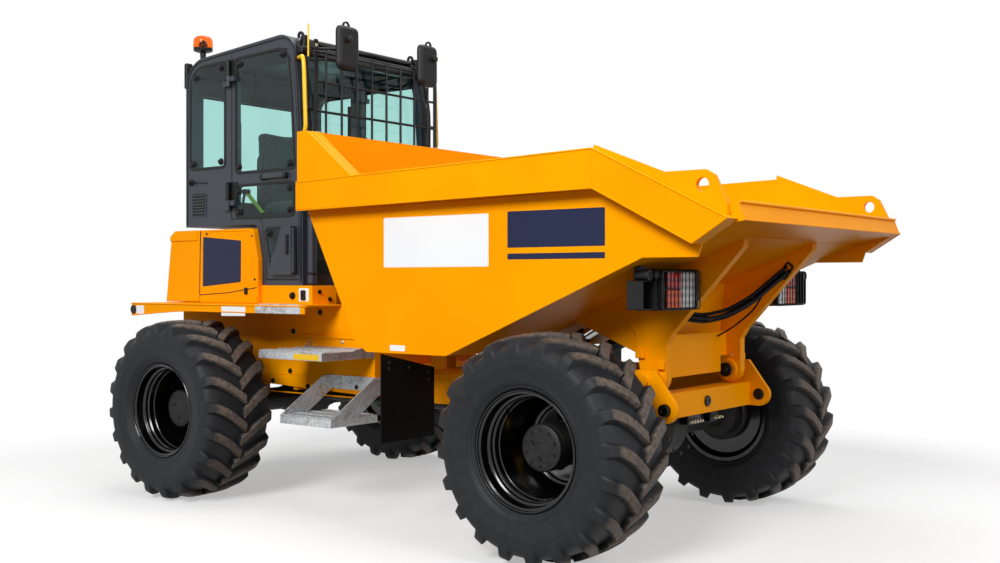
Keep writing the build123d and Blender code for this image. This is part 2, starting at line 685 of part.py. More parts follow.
def skip_arms():
    """Arms from the nose floor down to the tip pivot, the plate between them and the ram brackets."""
    side = [(ARM_TOP_Y, nose_z(ARM_TOP_Y)), (ARM_TOP_Y, nose_z(ARM_TOP_Y) - 40), (ARM_ELBOW_Y, ARM_ELBOW_Z),
            (TIP_Y - ARM_R, ARM_ELBOW_Z - 60), (TIP_Y - ARM_R, TIP_Z), (TIP_Y + ARM_R, TIP_Z),
            (TIP_Y + ARM_R + 40, ARM_ELBOW_Z), (-1430, nose_z(-1430))]
    arm = yz_plate(side, ARM_X, ARM_X + ARM_T) + pin_x(ARM_X, ARM_X + ARM_T, TIP_Y, TIP_Z, ARM_R)
    arm += pin_x(ARM_X - 30, ARM_X, TIP_Y, TIP_Z, ARM_R - 14)
    arm -= pin_x(ARM_X - 31, ARM_X + ARM_T + 1, TIP_Y, TIP_Z, TIP_PIN_R + RUN_FIT)
    shape = both(arm)
    low, mid, high = TIP_Z - 10, TIP_Z + ARM_R + 6, ARM_ELBOW_Z - 20
    free = ARM_X - 70
    panel = [(-free, low), (free, low), (free, mid), (ARM_X, mid), (ARM_X, high), (-ARM_X, high), (-ARM_X, mid),
             (-free, mid)]
    shape += xz_plate(panel, TIP_Y + 15, TIP_Y + 27)
    half = RAM_EYE_W / 2 + SIDE_GAP
    cheek = [(RAM_EYE_Y - 70, nose_z(RAM_EYE_Y - 70)), (RAM_EYE_Y - 40, RAM_EYE_Z - 20), (RAM_EYE_Y, RAM_EYE_Z - 45),
             (RAM_EYE_Y + 40, RAM_EYE_Z - 20), (RAM_EYE_Y + 90, nose_z(RAM_EYE_Y + 90))]
    for x in (RAM_X - half - CHEEK, RAM_X + half):
        shape += both(yz_plate(cheek, x, x + CHEEK))
    return shape


# ---------------------------------------------------------------- rams
def ram_barrel(base, eye, barrel_r, rod_r, eye_r, eye_w, pin_r, length, across):
    """Barrel from its base eye to the gland, bored for its rod."""
    start = Vector(*base)
    way = (Vector(*eye) - start).normalized()
    gland = start + way * length
    foot = start + way * (eye_r + NECK)
    shape = bar(tuple(foot), tuple(gland), barrel_r)
    shape += bar(tuple(start + way * eye_r * 0.8), tuple(foot), rod_r)
    half = across * (eye_w / 2)
    shape += bar(tuple(start - half), tuple(start + half), eye_r)
    shape -= bar(tuple(foot + way * 8), tuple(gland + way), rod_r + RUN_FIT)
    return shape - bar(tuple(start - half * 1.1), tuple(start + half * 1.1), pin_r + RUN_FIT)


def ram_rod(base, eye, rod_r, eye_r, eye_w, pin_r, inside, across):
    """Rod from inside the barrel out to its eye."""
    end = Vector(*eye)
    way = (end - Vector(*base)).normalized()
    shape = bar(tuple(end - way * inside), tuple(end - way * eye_r * 0.8), rod_r)
    half = across * (eye_w / 2)
    shape += bar(tuple(end - half), tuple(end + half), eye_r)
    return shape - bar(tuple(end - half * 1.1), tuple(end + half * 1.1), pin_r)


# ---------------------------------------------------------------- front chassis
def front_chassis():
    """Side plates with lashing ears, axle pads and the rests under the skip."""
    inner = FRONT_X - FRONT_PLATE
    outline = [(EAR_Y, EAR_Z - EAR_R), (FRONT_END_Y, FRAME_LOW_Z), (FRONT_END_Y, FRONT_TOP_Z),
               (TIP_Y + 130, FRONT_TOP_Z), (TIP_Y + 70, EAR_TOP_Z), (EAR_TOP_Y, EAR_TOP_Z),
               (EAR_Y - EAR_R * 0.9, EAR_Z + EAR_R * 0.45)]
    side = yz_plate(outline, inner, FRONT_X) + pin_x(inner, FRONT_X, EAR_Y, EAR_Z, EAR_R)
    side -= pin_x(inner - 1, FRONT_X + 1, EAR_Y, EAR_Z, EAR_HOLE_R)
    side += pin_x(ARM_X - 34, FRONT_X + 12, TIP_Y, TIP_Z, TIP_PIN_R)
    side += block((inner - 60, FRONT_X), (FRONT_AXLE_Y - 90, FRONT_AXLE_Y + 90),
                  (AXLE_Z + AXLE_TUBE_R, FRAME_LOW_Z + 40))
    rest_y = FLOOR_REAR_Y - 140
    side += block((inner - 60, FRONT_X), (rest_y - 60, rest_y + 60), (FRONT_TOP_Z, FLOOR_Z - 0.3))
    return both(side)


def front_beam():
    """Cross beam at the front, open towards the rear, with a hole in its middle."""
    inner = FRONT_X - FRONT_PLATE
    low, high = FRAME_LOW_Z, FRAME_LOW_Z + BEAM_H
    beam = block((-inner, inner), (BEAM_Y, BEAM_Y + BEAM_DEPTH), (low, high))
    beam -= block((-inner, inner), (BEAM_Y + BEAM_WALL, BEAM_Y + BEAM_DEPTH), (low + BEAM_WALL, high - BEAM_WALL))
    return beam - bar((0, BEAM_Y - 1, EAR_Z), (0, BEAM_Y + BEAM_WALL + 1, EAR_Z), BEAM_HOLE_R)


def front_yoke():
    """Cross box that carries the ram feet, with the pivot's yoke and the steering ram's bracket behind it."""
    inner = FRONT_X - FRONT_PLATE
    box_y = RAM_BASE_Y + RAM_FOOT
    box_end = box_y + CROSS_BOX
    shape = block((-inner, inner), (box_y, box_end), (FRAME_LOW_Z, FRONT_TOP_Z))
    for z in (PIVOT_LOW_Z - STACK_GAP - YOKE, PIVOT_TOP_Z + STACK_GAP):
        yoke = xy_plate([(-YOKE_FOOT, box_end), (-PIVOT_R, 0), (PIVOT_R, 0), (YOKE_FOOT, box_end)], z, z + YOKE)
        shape += yoke + pin_z(0, 0, z, z + YOKE, PIVOT_R)
    cap = STACK_GAP + YOKE + PIVOT_CAP
    shape += pin_z(0, 0, PIVOT_LOW_Z - cap, PIVOT_TOP_Z + cap, PIVOT_PIN_R)
    half = RAM_EYE_W / 2 + SIDE_GAP
    foot = [(box_y, FRAME_LOW_Z), (RAM_BASE_Y, FRAME_LOW_Z - 20), (RAM_BASE_Y - 45, RAM_BASE_Z),
            (RAM_BASE_Y, RAM_BASE_Z + 50), (box_y, RAM_BASE_Z + 80)]
    for x in (RAM_X - half - CHEEK, RAM_X + half):
        shape += both(yz_plate(foot, x, x + CHEEK))
    shape += both(pin_x(RAM_X - half - CHEEK, RAM_X + half + CHEEK, RAM_BASE_Y, RAM_BASE_Z, RAM_PIN_R))
    reach = STEER_EYE_W / 2 + SIDE_GAP
    for z in (STEER_Z - reach - CHEEK, STEER_Z + reach):
        shape += block((STEER_X - STEER_CHEEK, STEER_X + STEER_CHEEK), (box_end, STEER_FRONT_Y + 40), (z, z + CHEEK))
    return shape


def flap_brackets():
    """Round bars from the front chassis that carry the mudflaps."""
    y = FLAP_Y + FLAP_T + FLAP_BAR_R
    return both(bar((FRONT_X, y, FLAP_BAR_Z), (FLAP_OUT_X - 40, y, FLAP_BAR_Z), FLAP_BAR_R))


def mudflaps():
    """Rubber flaps behind the front tyres."""
    outline = [(FLAP_IN_X, FLAP_LOW_Z), (FLAP_OUT_X, FLAP_LOW_Z), (FLAP_OUT_X, FLAP_OUT_Z), (FLAP_IN_X, FLAP_IN_Z)]
    return both(xz_plate(outline, FLAP_Y, FLAP_Y + FLAP_T))


# ---------------------------------------------------------------- rear chassis
def rear_chassis():
    """Side plates, front and rear plates, pivot nose and ram bracket."""
    inner = REAR_X - REAR_PLATE
    outline = [(REAR_FRONT_Y, FRAME_LOW_Z), (REAR_END_Y, FRAME_LOW_Z + 60), (REAR_END_Y, REAR_TOP_Z),
               (NOSE_TOP_Y, REAR_TOP_Z), (REAR_FRONT_Y, NOSE_BREAK_Z)]
    shape = both(yz_plate(outline, inner, REAR_X))
    t = REAR_PLATE
    front = [(REAR_FRONT_Y, FRAME_LOW_Z), (REAR_FRONT_Y, NOSE_BREAK_Z), (NOSE_TOP_Y, REAR_TOP_Z),
             (NOSE_TOP_Y + t * 1.2, REAR_TOP_Z), (REAR_FRONT_Y + t, NOSE_BREAK_Z - 5), (REAR_FRONT_Y + t, FRAME_LOW_Z)]
    shape += yz_plate(front, -inner, inner)
    shape += block((-inner, inner), (REAR_END_Y - 60, REAR_END_Y), (FRAME_LOW_Z + 60, REAR_TOP_Z))
    shape += block((-inner, inner), (1000, 1040), (FRAME_LOW_Z, FRAME_LOW_Z + 150))
    nose = xy_plate([(-PIVOT_R, 0), (PIVOT_R, 0), (150, REAR_FRONT_Y), (-150, REAR_FRONT_Y)], PIVOT_LOW_Z, PIVOT_TOP_Z)
    nose += pin_z(0, 0, PIVOT_LOW_Z, PIVOT_TOP_Z, PIVOT_R)
    nose -= pin_z(0, 0, PIVOT_LOW_Z - 1, PIVOT_TOP_Z + 1, PIVOT_PIN_R + RUN_FIT)
    shape += nose
    reach = STEER_EYE_W / 2 + SIDE_GAP
    shape -= block((STEER_X - 90, STEER_X + 90), (REAR_FRONT_Y - 1, REAR_FRONT_Y + t + 1), (STEER_Z - 70, STEER_Z + 70))
    for z in (STEER_Z - reach - CHEEK, STEER_Z + reach):
        shape += block((STEER_X - 45, inner), (STEER_REAR_Y - 40, STEER_REAR_Y + 60), (z, z + CHEEK))
    shape += pin_z(STEER_X, STEER_REAR_Y, STEER_Z - reach - CHEEK, STEER_Z + reach + CHEEK, STEER_PIN_R)
    pad = block((inner - 60, REAR_X), (REAR_AXLE_Y - 90, REAR_AXLE_Y + 90), (AXLE_Z + AXLE_TUBE_R, FRAME_LOW_Z + 92))
    shape += both(pad)
    for y in ENGINE_MOUNT_Y:
        shape += both(block((ENGINE[0] / 2, inner), (y - 40, y + 40), (ENGINE_Z + 40, ENGINE_Z + 80)))
    return shape


def decks():
    """Decks over the rear tyres with their skirts."""
    inner = REAR_X - REAR_PLATE
    plan = [(inner, DECK_INNER_Y), (DECK_INNER_X, DECK_INNER_Y), (DECK_X, DECK_FRONT_Y), (DECK_X, DECK_END_Y),
            (inner, DECK_END_Y)]
    shape = xy_plate(plan, DECK_Z - DECK_T, DECK_Z)
    skirt = [(TREAD_START_Y, DECK_Z - DECK_T), (TREAD_START_Y, DECK_Z - TREAD_DROP), (TREAD_END_Y, DECK_Z - TREAD_DROP),
             (REAR_AXLE_Y + 180, DECK_Z - TREAD_DROP), (DECK_END_Y, DECK_Z - SKIRT_DROP),
             (DECK_END_Y, DECK_Z - DECK_T)]
    return both(shape + yz_plate(skirt, DECK_X - 8, DECK_X))


def steps():
    """On each side an upper tread on the chassis and a lower tread on its hangers."""
    front, rear, top = UPPER_STEP
    shape = block((REAR_X, STEP_X), (front, rear), (top - STEP_T, top))
    for y in (front, rear - HANGER_T):
        shape += xz_plate([(REAR_X, top), (REAR_X + STEP_END, top), (REAR_X, top + STEP_END)], y, y + HANGER_T)
    front, rear, top = LOWER_STEP
    shape += block((LOWER_STEP_IN, STEP_X), (front, rear), (top - STEP_T, top))
    for y in (front, rear - HANGER_T):
        hanger = [(STEP_X - 60, top), (STEP_X, top), (REAR_X + 90, HANGER_TOP_Z), (REAR_X, HANGER_TOP_Z),
                  (REAR_X, HANGER_TOP_Z - HANGER_H), (LOWER_STEP_IN, top)]
        shape += xz_plate(hanger, y, y + HANGER_T)
    return both(shape)


def hood_front(inset):
    """Front and top corner of the engine bay's covers as (y, z), drawn in by an inset."""
    return [(HOOD_FRONT_Y + inset, DECK_Z), (HOOD_FRONT_Y + inset, HOOD_SLANT_Z), (HOOD_CORNER_Y + inset, HOOD_TOP_Z - inset)]


def engine_cover():
    """Side panels and top over the front of the engine bay."""
    end = HOOD_SPLIT_Y - 4
    outline = hood_front(0) + [(end, HOOD_TOP_Z), (end, DECK_Z)]
    shape = rounded_plate(outline, [0, 0, HOOD_CORNER_R, 0, 0], -HOOD_X, HOOD_X)
    hollow = hood_front(HOOD_WALL) + [(HOOD_SPLIT_Y, HOOD_TOP_Z - HOOD_WALL), (HOOD_SPLIT_Y, DECK_Z)]
    shape -= yz_plate(hollow, HOOD_WALL - HOOD_X, HOOD_X - HOOD_WALL)
    for z in BONNET_HINGE_Z:
        shape += knuckle(HOOD_X, BONNET_AXIS_X, HOOD_SPLIT_Y, HOOD_SPLIT_Y - HINGE_LEAF, z - HINGE_H - 0.5, z - 0.5,
                         False)
    return shape


def bonnet_rear_y(z):
    """Rear face of the bonnet at a height."""
    share = (z - DECK_Z) / (HOOD_TOP_Z - 40 - DECK_Z)
    return HOOD_END_LOW_Y + share * (HOOD_END_TOP_Y - HOOD_END_LOW_Y)


def bonnet():
    """Rear cover of the engine bay with its raised lid and cooling slats, open towards the front and below."""
    t = HOOD_WALL
    outline = [(HOOD_SPLIT_Y, DECK_Z + 4), (HOOD_END_LOW_Y, DECK_Z + 4), (HOOD_END_TOP_Y, HOOD_TOP_Z - 40),
               (HOOD_END_TOP_Y - 50, HOOD_TOP_Z), (HOOD_SPLIT_Y, HOOD_TOP_Z)]
    inside = [(HOOD_SPLIT_Y - 1, DECK_Z), (HOOD_END_LOW_Y - t, DECK_Z), (HOOD_END_TOP_Y - t, HOOD_TOP_Z - 50),
              (HOOD_END_TOP_Y - 60, HOOD_TOP_Z - t), (HOOD_SPLIT_Y - 1, HOOD_TOP_Z - t)]
    lid = [(LID_Y, HOOD_TOP_Z), (LID_Y, HOOD_TOP_Z - LID_H), (HOOD_END_TOP_Y + LID_OUT, HOOD_TOP_Z - LID_H),
           (HOOD_END_TOP_Y + LID_OUT, HOOD_TOP_Z - 40), (HOOD_END_TOP_Y - 50, HOOD_TOP_Z)]
    shape = yz_plate(outline, -HOOD_X, HOOD_X) + yz_plate(lid, -HOOD_X - LID_OUT, HOOD_X + LID_OUT)
    shape -= yz_plate(inside, t - HOOD_X, HOOD_X - t)
    for index in range(SLAT_COUNT):
        z = SLAT_LOW_Z + index * SLAT_PITCH
        slat = [(bonnet_rear_y(z) - 5, z), (bonnet_rear_y(z) + SLAT_OUT, z), (bonnet_rear_y(z + SLAT_H) - 5, z + SLAT_H)]
        shape += yz_plate(slat, -SLAT_X, SLAT_X)
    for z in BONNET_HINGE_Z:
        shape += knuckle(HOOD_X, BONNET_AXIS_X, HOOD_SPLIT_Y, HOOD_SPLIT_Y + HINGE_LEAF, z, z + HINGE_H, True)
    return shape


def cab_base():
    """Box under the front of the cab, with the isolator boxes that reach forwards at its corners."""
    half = CAB_X - 10
    shape = block((-half, half), (CAB_FRONT_Y, HOOD_FRONT_Y), (DECK_Z, CAB_LOW_Z))
    return shape + both(block((BASE_IN_X, CAB_X), (BASE_Y, HOOD_FRONT_Y), (DECK_Z, CAB_LOW_Z)))


# ---------------------------------------------------------------- cab
def cab_front_y(z):
    """Front face of the cab at a height."""
    low, high = CAB_LEAN_Z
    if z <= low:
        return CAB_FRONT_Y
    if z <= high:
        return CAB_FRONT_Y + CAB_LEAN_Y * (z - low) / (high - low)
    return CAB_FRONT_Y + CAB_LEAN_Y + CAB_LEAN_TOP * (z - high)


def front_edge(inset, low, top):
    """The cab's front line as (y, z) from a low point to a top one, moved back by an inset."""
    heights = [low, *CAB_LEAN_Z, top]
    return [(cab_front_y(z) + inset, z) for z in heights]


def cab_block(inset, half):
    """The cab as a solid, drawn in by an inset all round."""
    step_z, step_y = CAB_STEP_Z + inset, CAB_STEP_Y - inset
    slant = HOOD_CORNER_Y - HOOD_FRONT_Y
    points = front_edge(inset, CAB_LOW_Z + inset, ROOF_FRONT_Z - inset)
    points += [(CAB_REAR_Y - inset, ROOF_REAR_Z - inset), (CAB_REAR_Y - inset, step_z), (step_y + slant, step_z),
               (step_y, HOOD_SLANT_Z), (step_y, CAB_LOW_Z + inset)]
    radii = [0, 0, 0, ROOF_FRONT_R - inset, ROOF_REAR_R - inset, 0, HOOD_CORNER_R, 0, 0]
    return rounded_plate(points, radii, -half, half)


def door_plate(grow, x_from, x_to):
    """A door's outline as a plate, grown all round by a gap."""
    low, top = DOOR_LOW_Z - grow, DOOR_TOP_Z + grow
    slant = HOOD_CORNER_Y - HOOD_FRONT_Y
    cut_y = DOOR_CUT_Y + grow
    points = front_edge(DOOR_FRONT_Y - CAB_FRONT_Y - grow, low, top)
    points += [(DOOR_REAR_Y + grow, top), (DOOR_REAR_Y + grow, DOOR_CUT_TOP_Z - grow),
               (cut_y + slant, DOOR_CUT_TOP_Z - grow), (cut_y, HOOD_SLANT_Z), (cut_y, low)]
    radii = [0, 0, 0, DOOR_CORNER_R + grow, 0, 0, HOOD_CORNER_R, 0, 0]
    return rounded_plate(points, radii, x_from, x_to)


def door_windows(x_from, x_to):
    """A door's three windows as plates: above its handle rail, under it, and low before the engine bay."""
    f = DOOR_FRAME
    inset = DOOR_FRONT_Y - CAB_FRONT_Y + f
    front, rear = DOOR_FRONT_Y + f, DOOR_REAR_Y - f
    slant = HOOD_CORNER_Y - HOOD_FRONT_Y
    upper = [(front, RAIL_TOP_Z)] + front_edge(inset, RAIL_TOP_Z, DOOR_TOP_Z - f)[2:]
    upper += [(rear, DOOR_TOP_Z - f), (rear, RAIL_TOP_Z)]
    middle = [(front, SILL_TOP_Z), (front, RAIL_LOW_Z), (rear, RAIL_LOW_Z), (rear, SILL_TOP_Z)]
    low_z = DOOR_LOW_Z + f
    low = [(front, low_z), (front, SILL_LOW_Z), (DOOR_CUT_Y - f + slant, SILL_LOW_Z), (DOOR_CUT_Y - f, HOOD_SLANT_Z),
           (DOOR_CUT_Y - f, low_z)]
    return (rounded_plate(upper, [PANE_R, 0, PANE_TOP_R, PANE_R, PANE_R], x_from, x_to),
            rounded_plate(middle, [PANE_R] * 4, x_from, x_to),
            rounded_plate(low, [PANE_R, PANE_R, PANE_R, 0, PANE_R], x_from, x_to))


def quarter_window(x_from, x_to):
    """The window behind the door, with a large upper rear corner."""
    (front, rear), (low, top) = QUARTER_Y, QUARTER_Z
    points = [(front, low), (front, top), (rear, top), (rear, low)]
    return rounded_plate(points, [PANE_R, PANE_R, QUARTER_R, PANE_R], x_from, x_to)


def cab_shell():
    """Whole cab wall with its openings cut."""
    shell = cab_block(0, CAB_X) - cab_block(CAB_WALL, CAB_X - CAB_WALL)
    for side in (-1, 1):
        outside, inside = side * (CAB_X + 1), side * (CAB_X - CAB_WALL - 1)
        shell -= door_plate(DOOR_GAP, inside, outside)
        shell -= quarter_window(inside, outside)
    shell -= block((-SCREEN_X, SCREEN_X), (CAB_FRONT_Y - 1, CAB_FRONT_Y + PANE_FOOT_Y), SCREEN_Z)
    shell -= block((-REAR_PANE_X, REAR_PANE_X), (CAB_REAR_Y - CAB_WALL - 1, CAB_REAR_Y + 1), REAR_PANE_Z)
    for z in DOOR_HINGE_Z:
        shell += both(knuckle(CAB_X, CAB_X + HINGE_OUT, DOOR_AXIS_Y, DOOR_AXIS_Y + HINGE_LEAF, z - HINGE_H - 0.5,
                              z - 0.5, False))
    return shell


def cab_glass():
    """Windscreen, rear window and rear side windows."""
    mid = CAB_WALL / 2
    outside = front_edge(mid, *SCREEN_Z)
    inside = front_edge(mid + GLASS, *SCREEN_Z)
    screen = yz_plate(outside + inside[::-1], -SCREEN_X, SCREEN_X)
    back = block((-REAR_PANE_X, REAR_PANE_X), (CAB_REAR_Y - mid - GLASS, CAB_REAR_Y - mid), REAR_PANE_Z)
    return screen + back + both(quarter_window(CAB_X - mid - GLASS, CAB_X - mid))


def door(side):
    """Door with its windows cut, its latch cover and its hinge knuckles."""
    shape = door_plate(0, CAB_X - CAB_WALL, CAB_X)
    for window in door_windows(CAB_X - CAB_WALL - 1, CAB_X + 1):
        shape -= window
    (front, rear), (low, top) = POD_Y, POD_Z
    shape += yz_plate([(front, low), (rear, low), (POD_TOP_Y, top), (front, top)], CAB_X - CAB_WALL, CAB_X + POD_OUT)
    for z in DOOR_HINGE_Z:
        shape += knuckle(CAB_X, CAB_X + HINGE_OUT, DOOR_AXIS_Y, DOOR_AXIS_Y - HINGE_LEAF, z, z + HINGE_H, True)
    return shape if side > 0 else mirrored(shape)


def door_glass(side):
    """Panes of one door, the lowest cut round the latch cover."""
    mid = CAB_X - CAB_WALL / 2
    upper, middle, low = door_windows(mid - GLASS, mid)
    (front, rear), (foot, top) = POD_Y, POD_Z
    low -= yz_plate([(front, foot), (rear, foot), (POD_TOP_Y, top), (front, top)], mid - GLASS - 1, mid + 1)
    shape = upper + middle + low
    return shape if side > 0 else mirrored(shape)


def front_grille():
    """Guard bars before the windscreen, on uprights that stand off the cab."""
    y = CAB_FRONT_Y - GRILLE_OUT
    low, high = GRILLE_Z[0], GRILLE_Z[-1]
    shape = both(block((GRILLE_FOOT_X - UPRIGHT_W / 2, GRILLE_FOOT_X + UPRIGHT_W / 2), (y - UPRIGHT_T / 2, y + UPRIGHT_T / 2),
                       UPRIGHT_Z))
    for z in GRILLE_Z:
        shape += bar((-GRILLE_FOOT_X, y, z), (GRILLE_FOOT_X, y, z), GRILLE_R)
    for index in range(GRILLE_BARS):
        x = GRILLE_X * (2 * index / (GRILLE_BARS - 1) - 1)
        shape += bar((x, y, low), (x, y, high), GRILLE_R)
    for z in (low, high):
        shape += both(bar((GRILLE_FOOT_X, y, z), (GRILLE_FOOT_X, cab_front_y(z - GRILLE_R) - 0.3, z), GRILLE_R))
    return shape


def cab_posts():
    """Round posts on the isolator boxes, before the cab's front corners."""
    return both(pin_z(POST_X, POST_Y, *POST_Z, POST_R))


def handrails():
    """Yellow rails on the front corner posts."""
    x, y = CAB_X + RAIL_OUT_X, CAB_FRONT_Y - RAIL_OUT_Y
    low, high = RAIL_Z
    shape = bar((x, y, low), (x, y, high), RAIL_R)
    for z in (low + RAIL_FOOT, high - RAIL_FOOT):
        shape += bar((x, y, z), (CAB_X - 25, cab_front_y(z - RAIL_R) - RAIL_FOOT_GAP, z), RAIL_FOOT_R)
    return both(shape)


def mirrors():
    """Rear-view mirrors on their arms."""
    half = MIRROR_W / 2
    head = block((MIRROR_X - half, MIRROR_X + half), (MIRROR_Y, MIRROR_Y + MIRROR_T), MIRROR_Z)
    z = MIRROR_ARM_Z
    arm_end = cab_front_y(z - MIRROR_ARM_R) + MIRROR_ARM_SEAT
    arm = bar((MIRROR_X, MIRROR_Y + MIRROR_T - 2, z), (MIRROR_X, arm_end, z), MIRROR_ARM_R)
    return both(head + arm)


def seat():
    """Driver's seat."""
    front, rear = SEAT_Y
    shape = block((-SEAT_X, SEAT_X), (front, rear), (CAB_STEP_Z + CAB_WALL, SEAT_TOP_Z))
    return shape + block((-SEAT_BACK_X, SEAT_BACK_X), SEAT_BACK, (SEAT_TOP_Z, SEAT_BACK_Z))


def console():
    """Dash, column and steering wheel."""
    shape = block((-DASH_X, DASH_X), DASH_Y, (CAB_LOW_Z + CAB_WALL, DASH_TOP_Z))
    foot_y, top_y = COLUMN_Y
    shape += bar((0, foot_y, DASH_TOP_Z - 10), (0, top_y, COLUMN_TOP_Z), COLUMN_R)
    tilt = Plane(origin=(0, top_y, COLUMN_TOP_Z), z_dir=(0, 0.5, 1))
    ring_face = tilt * (Circle(WHEEL_RING_R) - Circle(WHEEL_RING_R - WHEEL_RING_W))
    spokes = tilt * Rectangle(2 * WHEEL_RING_R - WHEEL_SPOKE_W, WHEEL_SPOKE_W)
    return shape + extrude(ring_face, amount=WHEEL_RING_T) + extrude(spokes, amount=WHEEL_RING_T * 2 / 3)


def beacon_stalk():
    """Stalk of the beacon, from the cab's rear face up."""
    y = CAB_REAR_Y + BEACON_OUT
    foot = bar((BEACON_X, CAB_REAR_Y, BEACON_FOOT_Z), (BEACON_X, y, BEACON_FOOT_Z), STALK_R)
    return foot + bar((BEACON_X, y, BEACON_FOOT_Z - STALK_R), (BEACON_X, y, BEACON_Z), STALK_R)


def beacon():
    """Amber lamp at the roof's rear right corner."""
    return pin_z(BEACON_X, CAB_REAR_Y + BEACON_OUT, BEACON_Z, BEACON_Z + BEACON_H, BEACON_R)


def engine():
    """Plain block of the engine's real size."""
    wide, long, high = ENGINE
    return block((-wide / 2, wide / 2), (ENGINE_FRONT_Y, ENGINE_FRONT_Y + long), (ENGINE_Z, ENGINE_Z + high))


def skip_lamps():
    """Lamp housings under the nose floor with their side brackets."""
    front, rear = LAMP_Y
    low, high = LAMP_Z
    start, end = front + LENS_T, rear - HANGER_Y
    housing = yz_plate([(start, low), (start, high), (end, high), (rear, nose_z(rear) - 4), (rear, low)], *LAMP_X)
    bracket = block((LAMP_X[1], BRACKET_X), (end - BRACKET_T, end), BRACKET_Z)
    hanger_y = end - HANGER_W
    hanger = [(hanger_y, high), (hanger_y, nose_z(hanger_y) - 0.3), (end, nose_z(end) - 0.3), (end, high)]
    x = sum(LAMP_X) / 2
    return both(housing + bracket + yz_plate(hanger, x - HANGER_W, x + HANGER_W))


def lamp_lenses():
    """Lenses on the front lamps' housings, side by side."""
    front = LAMP_Y[0]
    low, high = LAMP_Z[0] + LAMP_FRAME, LAMP_Z[1] - LAMP_FRAME
    edges = (LAMP_X[0] + LAMP_FRAME, *LENS_SPLIT_X)
    shapes = [block((left + 0.3, right - 0.3), (front, front + LENS_T), (low, high)) for left, right in zip(edges, edges[1:])]
    return both(shapes[0] + shapes[1] + shapes[2])


def lamp_guards():
    """Guards round the front lamps, each a frame with upright bars."""
    front = LAMP_Y[0]
    out_y = front - LAMP_FRAME_OUT
    (left, right), (low, high), t = LAMP_X, LAMP_Z, LAMP_FRAME
    shape = block((left, right), (out_y, front + LENS_T), (low, high))
    shape -= block((left + t - 0.3, right - t + 0.3), (out_y - 1, front + LENS_T + 1), (low + t - 0.3, high - t + 0.3))
    pitch = (right - left - 2 * t) / (LAMP_BARS + 1)
    for index in range(LAMP_BARS):
        x = left + t + pitch * (index + 1)
        y = out_y + LAMP_BAR_R
        shape += bar((x, y, low + 2), (x, y, high - 2), LAMP_BAR_R)
    return both(shape)


def tail_lamps():
    """Lamp blocks under the decks' rear edges."""
    top = DECK_Z - DECK_T
    end = DECK_END_Y + TAIL_LAMP_OUT
    return both(block(TAIL_LAMP_X, (end - TAIL_LAMP_T, end), (top - TAIL_LAMP_H, top)))


# ---------------------------------------------------------------- nodes
NODES = {}
wheel_tyre = tyre()
for end_name, axle_y in (("front", FRONT_AXLE_Y), ("rear", REAR_AXLE_Y)):
    for side_name, sign in SIDES:
        place = Pos(sign * WHEEL_X, axle_y, AXLE_Z)
        NODES[f"tyre_{end_name}_{side_name}"] = place * wheel_tyre
        NODES[f"rim_{end_name}_{side_name}"] = place * rim(sign)
        NODES[f"hub_{end_name}_{side_name}"] = place * hub(sign)
NODES["front_axle"] = axle(FRONT_AXLE_Y, -JOINT_R - 12)
NODES["rear_axle"] = axle(REAR_AXLE_Y, 0) + Pos(0, 0, SHAFT_Z) * Sphere(JOINT_R)

NODES["skip_tub"] = skip_tub()
NODES["skip_rim"] = skip_rim()
NODES["skip_gussets"] = skip_gussets()
NODES["skip_lugs"] = skip_lugs()
NODES["skip_head"] = skip_head()
NODES["skip_lip"] = skip_lip()
NODES["skip_arms"] = skip_arms()

NODES["front_chassis"] = front_chassis()
NODES["front_beam"] = front_beam()
NODES["front_yoke"] = front_yoke()
NODES["flap_brackets"] = flap_brackets()
NODES["rear_chassis"] = rear_chassis()

RAM_INSIDE = hypot(RAM_EYE_Y - RAM_BASE_Y, RAM_EYE_Z - RAM_BASE_Z) - 90
for side_name, sign in SIDES:
    base = (sign * RAM_X, RAM_BASE_Y, RAM_BASE_Z)
    eye = (sign * RAM_X, RAM_EYE_Y, RAM_EYE_Z)
    NODES[f"tip_barrel_{side_name}"] = ram_barrel(base, eye, RAM_BARREL_R, RAM_ROD_R, RAM_EYE_R, RAM_EYE_W,
                                                  RAM_PIN_R, RAM_BARREL, Vector(1, 0, 0))
    NODES[f"tip_rod_{side_name}"] = ram_rod(base, eye, RAM_ROD_R, RAM_EYE_R, RAM_EYE_W, RAM_PIN_R, RAM_INSIDE,
                                            Vector(1, 0, 0))
base = (STEER_X, STEER_REAR_Y, STEER_Z)
eye = (STEER_X, STEER_FRONT_Y, STEER_Z)
NODES["steer_barrel"] = ram_barrel(base, eye, STEER_BARREL_R, STEER_ROD_R, STEER_EYE_R, STEER_EYE_W, STEER_PIN_R,
                                   STEER_BARREL, Vector(0, 0, 1))
NODES["steer_rod"] = ram_rod(base, eye, STEER_ROD_R, STEER_EYE_R, STEER_EYE_W, STEER_PIN_R,
                             STEER_ROD, Vector(0, 0, 1))

